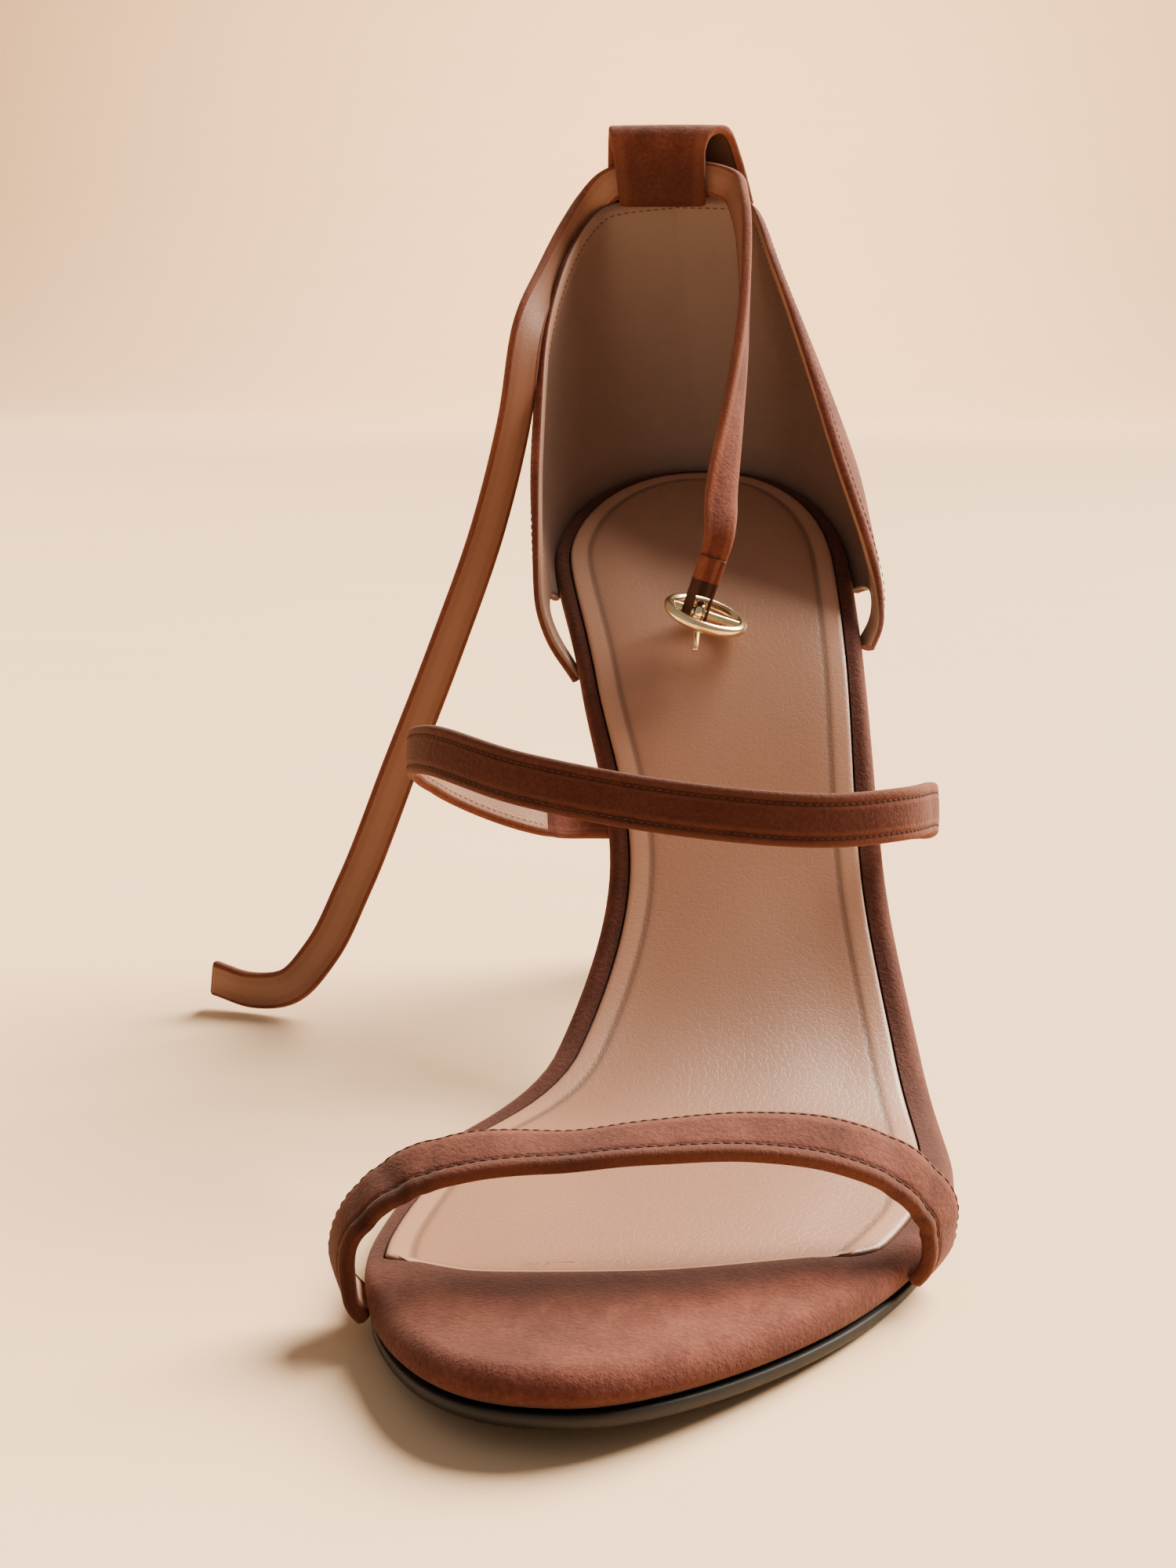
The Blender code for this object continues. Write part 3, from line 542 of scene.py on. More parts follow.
def curve_through(rows: Sequence[Sequence[float]], count: int, relax: int = 6) -> np.ndarray:
    """Smooth curve through rows of numbers, the first three of which are a place.

    Args:
        rows: the table's rows.
        count: number of evenly spaced places to return.
        relax: how often the fine curve is eased, to soften changes of bend.

    Returns:
        One row for each place, the other numbers going along with it.
    """
    points = np.asarray(rows, float)
    knot = way_along(points[:, :3])
    slope = np.gradient(points, knot, axis=0)
    at = np.linspace(0, knot[-1], 16 * len(points))
    i = np.clip(np.searchsorted(knot, at) - 1, 0, len(knot) - 2)
    step = (knot[i + 1] - knot[i])[:, None]
    t = ((at - knot[i])[:, None]) / step
    fine = points[i] * (1 + 2 * t) * (1 - t) ** 2 + slope[i] * step * t * (1 - t) ** 2
    fine = fine + points[i + 1] * t * t * (3 - 2 * t) - slope[i + 1] * step * t * t * (1 - t)
    fine = relaxed(fine, relax)
    way = way_along(fine[:, :3])
    even = np.linspace(0, way[-1], count)
    return np.stack([np.interp(even, way, fine[:, k]) for k in range(fine.shape[1])], axis=1)


@dataclass
class Shape:
    """A mesh in the making: points in millimetres, faces with a material number, and point numbers."""

    points: list[np.ndarray]
    faces: list[tuple[int, ...]]
    parts: list[int]
    shadow: list[float]
    margin: list[float]

    @classmethod
    def empty(cls) -> "Shape":
        """A shape with nothing in it."""
        return cls([], [], [], [], [])

    def add_ring(self, places: np.ndarray, shadow: Any = 0.0, margin: Any = 0.0) -> list[int]:
        """Adds points and returns their numbers.

        Args:
            places: the points.
            shadow: how dark each point is, from 0 to 1.
            margin: how near an edge each point counts as, from 0 to 1.

        Returns:
            The points' numbers.
        """
        start = len(self.points)
        self.points.extend(places)
        self.shadow.extend(np.broadcast_to(np.asarray(shadow, float), len(places)))
        self.margin.extend(np.broadcast_to(np.asarray(margin, float), len(places)))
        return list(range(start, start + len(places)))

    def bridge(self, ring: list[int], other: list[int], parts: Any = 0, closed: bool = True) -> None:
        """Adds quads between two rings of one count, with a material number for each quad.

        Args:
            ring: point numbers of the first ring.
            other: point numbers of the second.
            parts: material number, or one for each quad.
            closed: whether the rings close.
        """
        count = len(ring) if closed else len(ring) - 1
        numbers = np.broadcast_to(np.asarray(parts, int), count)
        for i in range(count):
            j = (i + 1) % len(ring)
            self.faces.append((ring[i], ring[j], other[j], other[i]))
            self.parts.append(int(numbers[i]))

    def skin(self, rings: Sequence[list[int]], part: int = 0, closed: bool = True) -> None:
        """Bridges each ring with the next, in one material.

        Args:
            rings: point numbers of the rings, in order.
            part: material number.
            closed: whether the rings close.
        """
        for ring, other in zip(rings, rings[1:]):
            self.bridge(ring, other, part, closed)

    def fill(self, ring: list[int], part: int = 0) -> None:
        """Adds one face on a ring."""
        self.faces.append(tuple(ring))
        self.parts.append(part)

    def ladder(self, ring: list[int], part: int = 0) -> None:
        """Fills a ring that runs as the sole's outline does, with strips from side to side.

        Args:
            ring: point numbers of the ring.
            part: material number.
        """
        count, half = len(ring), len(ring) // 2
        self.fill([ring[0], ring[1], ring[count - 1]], part)
        for i in range(1, half - 1):
            self.fill([ring[i], ring[i + 1], ring[count - i - 1], ring[count - i]], part)
        self.fill([ring[half - 1], ring[half], ring[half + 1]], part)

    def piece(
        self, name: str, materials: Sequence[bpy.types.Material], sharp: float = 50.0
    ) -> bpy.types.Object:
        """Makes the object, at the origin, with its faces turned outwards.

        Args:
            name: name of the piece.
            materials: materials in the order of the face numbers.
            sharp: angle in degrees past which an edge stays sharp.

        Returns:
            The new object.
        """
        mesh = bpy.data.meshes.new(name)
        mesh.from_pydata([tuple(p * MM) for p in np.asarray(self.points, float)], [], self.faces)
        for material in materials:
            mesh.materials.append(material)
        mesh.polygons.foreach_set("material_index", self.parts)
        for label, numbers in (("shadow", self.shadow), ("margin", self.margin)):
            store = mesh.attributes.new(label, "FLOAT", "POINT")
            store.data.foreach_set("value", [float(n) for n in numbers])
        made = bmesh.new()
        made.from_mesh(mesh)
        bmesh.ops.recalc_face_normals(made, faces=made.faces)
        made.to_mesh(mesh)
        made.free()
        mesh.shade_smooth()
        mesh.set_sharp_from_angle(angle=math.radians(sharp))
        return placed(name, mesh)


def baked(piece: bpy.types.Object) -> bpy.types.Object:
    """Applies a piece's modifiers and removes them.

    Args:
        piece: the object.

    Returns:
        The same object, with a plain mesh.
    """
    deps = bpy.context.evaluated_depsgraph_get()
    mesh = bpy.data.meshes.new_from_object(piece.evaluated_get(deps), depsgraph=deps)
    mesh.name = piece.name
    piece.modifiers.clear()
    piece.data = mesh
    return piece


def settle(piece: bpy.types.Object, body: Body, slot: Slot, *nodes: str) -> None:
    """Puts a piece on its body and in the place of its solids.

    Args:
        piece: the finished piece.
        body: body that it rides on.
        slot: not used.
        nodes: solids that it stands for.
    """
    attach(piece, body.value)
    if nodes:
        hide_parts(*nodes)
    LOG.info("%s: %d points, rides on %s", piece.name, len(piece.data.vertices), body.value)


class Stitch(NamedTuple):
    """Sizes of a sewn row: from stitch to stitch, and a stitch's length and radius."""

    pitch: float
    length: float
    radius: float


class Stitcher:
    """Geometry Nodes tree that sews a row of thread bumps along the edges of a mesh line."""

    segments: int = 8
    rings: int = 6

    def __init__(self, thread: bpy.types.Material) -> None:
        """Builds the tree with its named inputs.

        Args:
            thread: the usual thread.
        """
        self.tree = bpy.data.node_groups.new("sewn_row", "GeometryNodeTree")
        face = self.tree.interface
        face.new_socket("Line", in_out="INPUT", socket_type="NodeSocketGeometry")
        self.pitch = face.new_socket("Pitch", in_out="INPUT", socket_type="NodeSocketFloat").identifier
        self.length = face.new_socket("Length", in_out="INPUT", socket_type="NodeSocketFloat").identifier
        self.radius = face.new_socket("Radius", in_out="INPUT", socket_type="NodeSocketFloat").identifier
        self.thread = face.new_socket("Thread", in_out="INPUT", socket_type="NodeSocketMaterial").identifier
        self.default_thread = thread
        face.new_socket("Stitches", in_out="OUTPUT", socket_type="NodeSocketGeometry")
        self._wire()

    def _wire(self) -> None:
        """Adds the tree's nodes and links."""
        nodes = self.tree.nodes
        given = nodes.new("NodeGroupInput")
        curve = nodes.new("GeometryNodeMeshToCurve")
        even = nodes.new("GeometryNodeResampleCurve")
        even.mode = "LENGTH"
        way = nodes.new("GeometryNodeInputTangent")
        turn = nodes.new("FunctionNodeAlignRotationToVector")
        turn.axis = "Z"
        bead = nodes.new("GeometryNodeMeshUVSphere")
        bead.inputs["Segments"].default_value = self.segments
        bead.inputs["Rings"].default_value = self.rings
        bead.inputs["Radius"].default_value = 1.0
        size = nodes.new("ShaderNodeCombineXYZ")
        half = nodes.new("ShaderNodeMath")
        half.operation = "MULTIPLY"
        half.inputs[1].default_value = 0.5
        put = nodes.new("GeometryNodeInstanceOnPoints")
        real = nodes.new("GeometryNodeRealizeInstances")
        soft = nodes.new("GeometryNodeSetShadeSmooth")
        dress = nodes.new("GeometryNodeSetMaterial")
        out = nodes.new("NodeGroupOutput")
        wires = (
            (given, "Line", curve, "Mesh"),
            (curve, "Curve", even, "Curve"),
            (given, "Pitch", even, "Length"),
            (even, "Curve", put, "Points"),
            (way, "Tangent", turn, "Vector"),
            (turn, "Rotation", put, "Rotation"),
            (bead, "Mesh", put, "Instance"),
            (given, "Length", half, 0),
            (given, "Radius", size, "X"),
            (given, "Radius", size, "Y"),
            (half, "Value", size, "Z"),
            (size, "Vector", put, "Scale"),
            (put, "Instances", real, "Geometry"),
            (real, "Geometry", soft, "Geometry"),
            (soft, "Geometry", dress, "Geometry"),
            (given, "Thread", dress, "Material"),
            (dress, "Geometry", out, "Stitches"),
        )
        for source, output, target, socket in wires:
            self.tree.links.new(source.outputs[output], target.inputs[socket])

    def sew(
        self,
        name: str,
        lines: Sequence[np.ndarray],
        stitch: Stitch,
        thread: bpy.types.Material | None = None,
    ) -> bpy.types.Object:
        """Sews rows of stitches.

        Args:
            name: name of the piece.
            lines: the rows, each a line of points in millimetres.
            stitch: sizes of the stitches.
            thread: their material, or the usual one.

        Returns:
            The stitches as one plain mesh.
        """
        points: list[tuple[float, ...]] = []
        edges: list[tuple[int, int]] = []
        for line in lines:
            start = len(points)
            points.extend(tuple(p * MM) for p in line)
            edges.extend((start + i, start + i + 1) for i in range(len(line) - 1))
        mesh = bpy.data.meshes.new(name)
        mesh.from_pydata(points, edges, [])
        piece = placed(name, mesh)
        modifier = piece.modifiers.new("sewn_row", "NODES")
        modifier.node_group = self.tree
        modifier[self.pitch] = stitch.pitch * MM
        modifier[self.length] = stitch.length * MM
        modifier[self.radius] = stitch.radius * MM
        modifier[self.thread] = thread or self.default_thread
        return baked(piece)


class BedRow(NamedTuple):
    """Slope of the foot bed at a place along it."""

    arc: float
    angle: float


class WidthRow(NamedTuple):
    """Half widths of the sole, or shares of its suede border, at a place along the foot bed."""

    arc: float
    inner: float
    outer: float


class ToeRow(NamedTuple):
    """Back edge of the toe piece."""

    x: float
    arc: float


@dataclass
class Last:
    """The foot bed's side view and the sole's outline, which every other piece refers to."""

    length: float = 252.0
    tread: float = 64.5
    thick: float = 7.2
    toe_cap_inner: float = 56.7
    toe_cap_outer: float = 96.4
    heel_cap: float = 43.8
    cap_power: float = 2.2
    tip_shift: float = -15.5
    tip_fade: float = 1.5
    side_points: int = 150
    slopes: tuple[BedRow, ...] = (
        BedRow(0, -9),
        BedRow(24, -5),
        BedRow(50, 0),
        BedRow(79, 0),
        BedRow(101, 24),
        BedRow(123, 45),
        BedRow(151, 51.5),
        BedRow(180, 45),
        BedRow(210, 24.5),
        BedRow(252, 19),
    )
    widths: tuple[WidthRow, ...] = (
        WidthRow(0, 33, 28),
        WidthRow(45, 42, 35.3),
        WidthRow(76, 39.5, 38),
        WidthRow(106, 23, 35.6),
        WidthRow(141, 15.5, 31),
        WidthRow(177, 21.8, 29),
        WidthRow(217, 28.6, 27),
        WidthRow(252, 28, 26),
    )
    borders: tuple[WidthRow, ...] = (
        WidthRow(0, 1, 1),
        WidthRow(20, 1, 1),
        WidthRow(33, 0.42, 0.75),
        WidthRow(52, 0.45, 0.75),
        WidthRow(76, 0.8, 0.9),
        WidthRow(110, 0.72, 0.82),
        WidthRow(150, 0.6, 0.72),
        WidthRow(185, 0.5, 0.58),
        WidthRow(252, 0.55, 0.55),
    )
    toe_line: tuple[ToeRow, ...] = (
        ToeRow(-43, 38.5),
        ToeRow(-36, 35),
        ToeRow(-27, 32.2),
        ToeRow(-8, 33.5),
        ToeRow(11, 38.3),
        ToeRow(22, 42),
        ToeRow(30, 50),
    )

    def __post_init__(self) -> None:
        """Sums the slopes up to the side view's line."""
        step = 0.25
        self.arc = np.arange(-20.0, self.length + 20.0 + step, step)
        self.angle = np.radians(smooth(column(self.slopes, "arc"), column(self.slopes, "angle"), self.arc))
        middle = (self.angle[1:] + self.angle[:-1]) / 2
        self.y = np.concatenate([[0], np.cumsum(np.cos(middle) * step)])
        self.z = np.concatenate([[0], np.cumsum(np.sin(middle) * step)])
        self.y -= np.interp(self.tread, self.arc, self.y)
        self.z += self.thick - np.interp(self.tread, self.arc, self.z)

    def bend(self, arc: Any, x: Any, height: Any) -> np.ndarray:
        """Places on or over the foot bed, from flat pattern coordinates.

        Args:
            arc: places along the foot bed.
            x: places across it.
            height: heights over it.

        Returns:
            One place in space for each.
        """
        arc, x, height = np.broadcast_arrays(np.asarray(arc, float), x, height)
        angle = np.interp(arc, self.arc, self.angle)
        y = np.interp(arc, self.arc, self.y) - height * np.sin(angle)
        z = np.interp(arc, self.arc, self.z) + height * np.cos(angle)
        return np.stack([x, y, z], axis=-1)

    def edge(self, arc: Any, side: Side) -> np.ndarray:
        """Signed distance of the sole's edge from the heel's centre line.

        Args:
            arc: places along the foot bed.
            side: side of the foot.

        Returns:
            X places of the edge.
        """
        arc = np.asarray(arc, float)
        name, cap = ("inner", self.toe_cap_inner) if side is Side.INNER else ("outer", self.toe_cap_outer)
        width = smooth(column(self.widths, "arc"), column(self.widths, name), arc)
        power = self.cap_power
        toe = (1 - np.clip(1 - arc / cap, 0, 1) ** power) ** (1 / power)
        heel = (1 - np.clip(1 - (self.length - arc) / self.heel_cap, 0, 1) ** power) ** (1 / power)
        shift = self.tip_shift * np.clip(1 - arc / self.toe_cap_inner, 0, 1) ** self.tip_fade
        return shift + side.value * width * toe * heel

    def loop(self) -> np.ndarray:
        """Closed outline: toe tip, outer side, heel, inner side, as (arc, x) rows.

        Returns:
            One row for each place.
        """
        turn = np.linspace(0, math.pi, self.side_points + 1)
        arc = self.length * (1 - np.cos(turn)) / 2
        outer = np.stack([arc, self.edge(arc, Side.OUTER)], axis=1)
        inner = np.stack([arc, self.edge(arc, Side.INNER)], axis=1)
        return np.concatenate([outer, inner[-2:0:-1]])

    def border_share(self) -> np.ndarray:
        """Share of the border's full width at each place of the outline.

        Returns:
            One share for each row of the outline.
        """
        loop = self.loop()
        arcs = column(self.borders, "arc")
        outer = smooth(arcs, column(self.borders, "outer"), loop[:, 0])
        inner = smooth(arcs, column(self.borders, "inner"), loop[:, 0])
        return np.where(np.arange(len(loop)) <= len(loop) // 2, outer, inner)

    def inset(self, even: float, border: float = 0.0) -> np.ndarray:
        """The outline moved inwards, evenly and by a part that follows the border's width.

        Args:
            even: even part of the move.
            border: full width of the other part.

        Returns:
            The moved (arc, x) rows.
        """
        loop = self.loop()
        along = np.roll(loop, -1, axis=0) - np.roll(loop, 1, axis=0)
        normal = unit(np.stack([-along[:, 1], along[:, 0]], axis=1))
        return loop - (even + border * self.border_share())[:, None] * normal

    def behind_toe(self, even: float, border: float, back: float) -> np.ndarray:
        """The inset outline, cut off behind the toe piece.

        Args:
            even: even part of the inset.
            border: full width of the part that follows the border.
            back: distance behind the toe piece's edge.

        Returns:
            The (arc, x) rows.
        """
        loop = self.inset(even, border)
        front = smooth(column(self.toe_line, "x"), column(self.toe_line, "arc"), loop[:, 1]) + back
        loop[:, 0] = np.maximum(loop[:, 0], front)
        return loop

    def heel_edge(self, reach: np.ndarray, side: Side) -> tuple[np.ndarray, np.ndarray, np.ndarray]:
        """Places round the heel's edge by their way from the back.

        Args:
            reach: ways along the edge.
            side: side of the foot.

        Returns:
            Places along the foot bed, X places, and outward normals in the flat pattern.
        """
        turn = np.linspace(0, math.pi / 2, 600)
        arc = self.length - (self.length - self.toe_cap_outer) * (1 - np.cos(turn))
        line = np.stack([arc, self.edge(arc, side)], axis=1)
        way = way_along(line)
        ways = (reach, reach + 1, np.maximum(reach - 1, 0))
        places = [np.stack([np.interp(r, way, line[:, k]) for k in (0, 1)], axis=-1) for r in ways]
        along = places[1] - places[2]
        normal = unit(np.stack([-along[:, 1], along[:, 0]], axis=1)) * -side.value
        return places[0][:, 0], places[0][:, 1], normal


@dataclass
class Sole:
    """Outsole, suede covered insole and leather sock."""

    last: Last
    insole_thick: float = 4.7
    outsole_inset: float = 0.6
    outsole_end: float = 197.7
    waist_arcs: tuple[float, ...] = (0.0, 110.0, 160.0, 200.0)
    waist_shares: tuple[float, ...] = (1.0, 1.0, 0.86, 0.68)
    edge_radius: float = 3.2
    undercut: float = 1.5
    border: float = 5.2
    pocket_depth: float = 1.0
    toe_pad: float = 0.7
    sock_proud: float = 0.4
    line_inset: float = 3.7
    line_width: float = 1.4
    line_depth: float = 0.02
    crown: float = 0.9
    crown_reach: float = 15.0
    crown_steps: int = 14
    crown_arcs: tuple[float, ...] = (0.0, 110.0, 155.0, 252.0)
    crown_shares: tuple[float, ...] = (1.0, 1.0, 0.0, 0.0)
    # Painted shade on the insole: next to the sock, in a band on the toe piece behind the toe strap, on the
    # toe piece's inner side and on its lower front.
    border_shade: float = 0.5
    toe_shade: float = 0.55
    side_shade: float = 0.28
    front_shade: float = 0.42
    side_start: float = 6.0
    side_reach: float = 22.0
    front_turn: float = 1.6
    roll_steps: int = 9
    pad_shares: tuple[float, ...] = (0.12, 0.25, 0.4, 0.55, 0.66, 0.75, 0.83, 0.91, 0.97)
    band_places: tuple[float, ...] = (0.5, 0.66, 0.8, 1.0)
    band_shades: tuple[float, ...] = (0.0, 0.6, 1.0, 1.0)
    end_slope: float = 0.3
    line_start: float = 1.0
    line_run: float = 2.2

    def build(self, finishes: Finishes) -> None:
        """Makes the three pieces.

        Args:
            finishes: the shoe's finishes.
        """
        settle(self.outsole(finishes), Body.SHOE, Slot.SOLE, "outsole")
        settle(self.insole(finishes), Body.SHOE, Slot.SUEDE, "insole")
        settle(self.sock(finishes), Body.SHOE, Slot.LEATHER, "sock")

    def _plate(self, rings: Sequence[tuple[np.ndarray, Any, Any, Any]], crowned: bool = False) -> Shape:
        """Bent plate, its first and last ring filled.

        Args:
            rings: rows of (outline, height, shadow, margin).
            crowned: whether the last ring's filling rises to its middle.

        Returns:
            The closed shape.
        """
        shape = Shape.empty()
        made = []
        for loop, height, shadow, margin in rings:
            made.append(shape.add_ring(self.last.bend(loop[:, 0], loop[:, 1], height), shadow, margin))
        shape.skin(made)
        shape.ladder(made[0])
        if crowned:
            self._crown(shape, made[-1], rings[-1][0], rings[-1][1])
        else:
            shape.ladder(made[-1])
        return shape

    def _crown(self, shape: Shape, ring: list[int], loop: np.ndarray, height: float) -> None:
        """Fills a ring from side to side with a surface that rises softly from its rim.

        Args:
            shape: the shape to add to.
            ring: numbers of the ring's points.
            loop: the ring's flat outline.
            height: its height over the foot bed.
        """
        count, half = len(ring), len(ring) // 2
        shares = np.linspace(0, 1, self.crown_steps + 1)[1:-1, None]
        rows = []
        for i in range(1, half):
            flat = loop[i] + shares * (loop[count - i] - loop[i])
            rim = np.linalg.norm(flat[:, None] - loop[None], axis=2).min(axis=1)
            share = smooth(self.crown_arcs, self.crown_shares, flat[:, 0])
            rise = self.crown * share * np.sin(np.clip(rim / self.crown_reach, 0, 1) * math.pi / 2)
            inside = shape.add_ring(self.last.bend(flat[:, 0], flat[:, 1], height + rise))
            rows.append([ring[i], *inside, ring[count - i]])
        shape.skin(rows, closed=False)
        shape.fill([ring[0], *rows[0]])
        shape.fill([ring[half], *rows[-1]])

    def outsole(self, finishes: Finishes) -> bpy.types.Object:
        """Thin black sole with a softly rounded edge.

        Args:
            finishes: the shoe's finishes.

        Returns:
            The new piece.
        """
        rings = []
        bottom, top = -self.last.thick, -self.insole_thick - GAP
        profile = (
            (1.6, bottom),
            (0.9, bottom + 0.12),
            (0.35, bottom + 0.5),
            (0.05, bottom + 1.0),
            (0.0, top - 0.25),
            (0.25, top),
        )
        for inset, height in profile:
            loop = self.last.inset(self.outsole_inset + inset)
            loop[:, 0] = np.minimum(loop[:, 0], self.outsole_end - inset * self.end_slope)
            loop[:, 1] *= smooth(self.waist_arcs, self.waist_shares, loop[:, 0])
            rings.append((loop, height, 0.0, 0.0))
        return self._plate(rings).piece("outsole_black", [finishes.sole])

    def insole(self, finishes: Finishes) -> bpy.types.Object:
        """Insole with a rolled suede edge, a padded toe piece and a recess for the sock.

        Args:
            finishes: the shoe's finishes.

        Returns:
            The new piece.
        """
        last, radius = self.last, self.edge_radius
        share = last.border_share()
        # The first rings take painted shade under the rolled edge, darkest at the bottom.
        rings = [
            (last.inset(self.undercut + 0.5), -self.insole_thick, 0.9, 0.0),
            (last.inset(self.undercut), -self.insole_thick + 0.05, 0.9, 0.0),
            (last.inset(self.undercut * 0.55), -self.insole_thick + 0.5, 0.7, 0.0),
            (last.inset(self.undercut * 0.2), -self.insole_thick + 1.0, 0.5, 0.0),
        ]
        brow = last.inset(0, radius)
        pocket = last.behind_toe(0, self.border, 0)
        reach = np.linalg.norm(pocket - brow, axis=1)
        padded = np.clip((reach - self.border) / self.border, 0, 1)
        # Painted shade on the toe piece's inner side.
        turned = self.side_shade * np.clip((-brow[:, 1] - self.side_start) / self.side_reach, 0, 1)
        pad = self.toe_pad * padded
        for turn in np.radians(np.linspace(0, 90, self.roll_steps)):
            drop = radius * share * (math.sin(turn) - 1)
            # Painted shade on the toe piece's lower front, and on the border's roll towards the sock.
            low = self.front_shade * max(0.0, math.cos(self.front_turn * turn))
            dark = (1 - padded) * self.border_shade * math.sin(turn) ** 2 + padded * np.maximum(turned, low)
            rings.append((last.inset(0, radius * (1 - math.cos(turn))), drop, dark, 0.0))
        for part in self.pad_shares:
            swell = pad * math.sin(part * math.pi / 2)
            # Painted shade: the toe strap's shade as a band on the toe piece, and shade on the border next to
            # the sock.
            band = self.toe_shade * float(smooth(self.band_places, self.band_shades, part))
            dark = padded * np.maximum(band, turned) + (1 - padded) * self.border_shade * (1 + 0.3 * part)
            rings.append((brow + part * (pocket - brow), swell, dark, 0.0))
        # Painted shade down into the sock's recess.
        rings.append((pocket, pad - 0.12, 0.55, 0.0))
        rings.append((pocket, pad * 0.3 - 0.45, 1.0, 0.0))
        rings.append((pocket, -self.pocket_depth, 1.0, 0.0))
        return self._plate(rings).piece("insole_suede", [finishes.suede])

    def sock(self, finishes: Finishes) -> bpy.types.Object:
        """Sock with a rounded rim and a sunk line inside its paler margin.

        Args:
            finishes: the shoe's finishes.

        Returns:
            The new piece.
        """
        last, top = self.last, self.sock_proud
        line = self.line_inset
        half = self.line_width / 2
        # Painted shade down the rim into the gap; the line inside the margin is darkened too.
        profile = (
            (0.0, GAP - self.pocket_depth, 1.0, 1.0),
            (0.0, top - 0.45, 0.9, 1.0),
            (0.12, top - 0.18, 0.45, 1.0),
            (0.4, top - 0.03, 0.1, 1.0),
            (0.9, top, 0.0, 1.0),
            (line - half - 0.5, top + 0.05, 0.0, 1.0),
            (line - half, top + 0.03, 0.1, 0.8),
            (line - half * 0.4, top - self.line_depth, 0.7, 0.5),
            (line + half * 0.4, top - self.line_depth, 0.7, 0.3),
            (line + half, top + 0.03, 0.1, 0.0),
            (line + half + 0.6, top + 0.06, 0.0, 0.0),
            (line + 3.0, top + 0.1, 0.0, 0.0),
        )
        rings = []
        for inset, height, shadow, margin in profile:
            back = GAP + inset
            if inset >= self.line_start:
                back = GAP - (-inset + line * min(1.0, (inset - self.line_start) / self.line_run))
            loop = last.behind_toe(GAP + inset, self.border, back)
            rings.append((loop, height, shadow, margin))
        return self._plate(rings, crowned=True).piece("sock_leather", [finishes.sock])


class HeelRow(NamedTuple):
    """Section of the heel: fall is 0 at its seat and 1 at its tip."""

    fall: float
    width: float
    length: float
    back: float


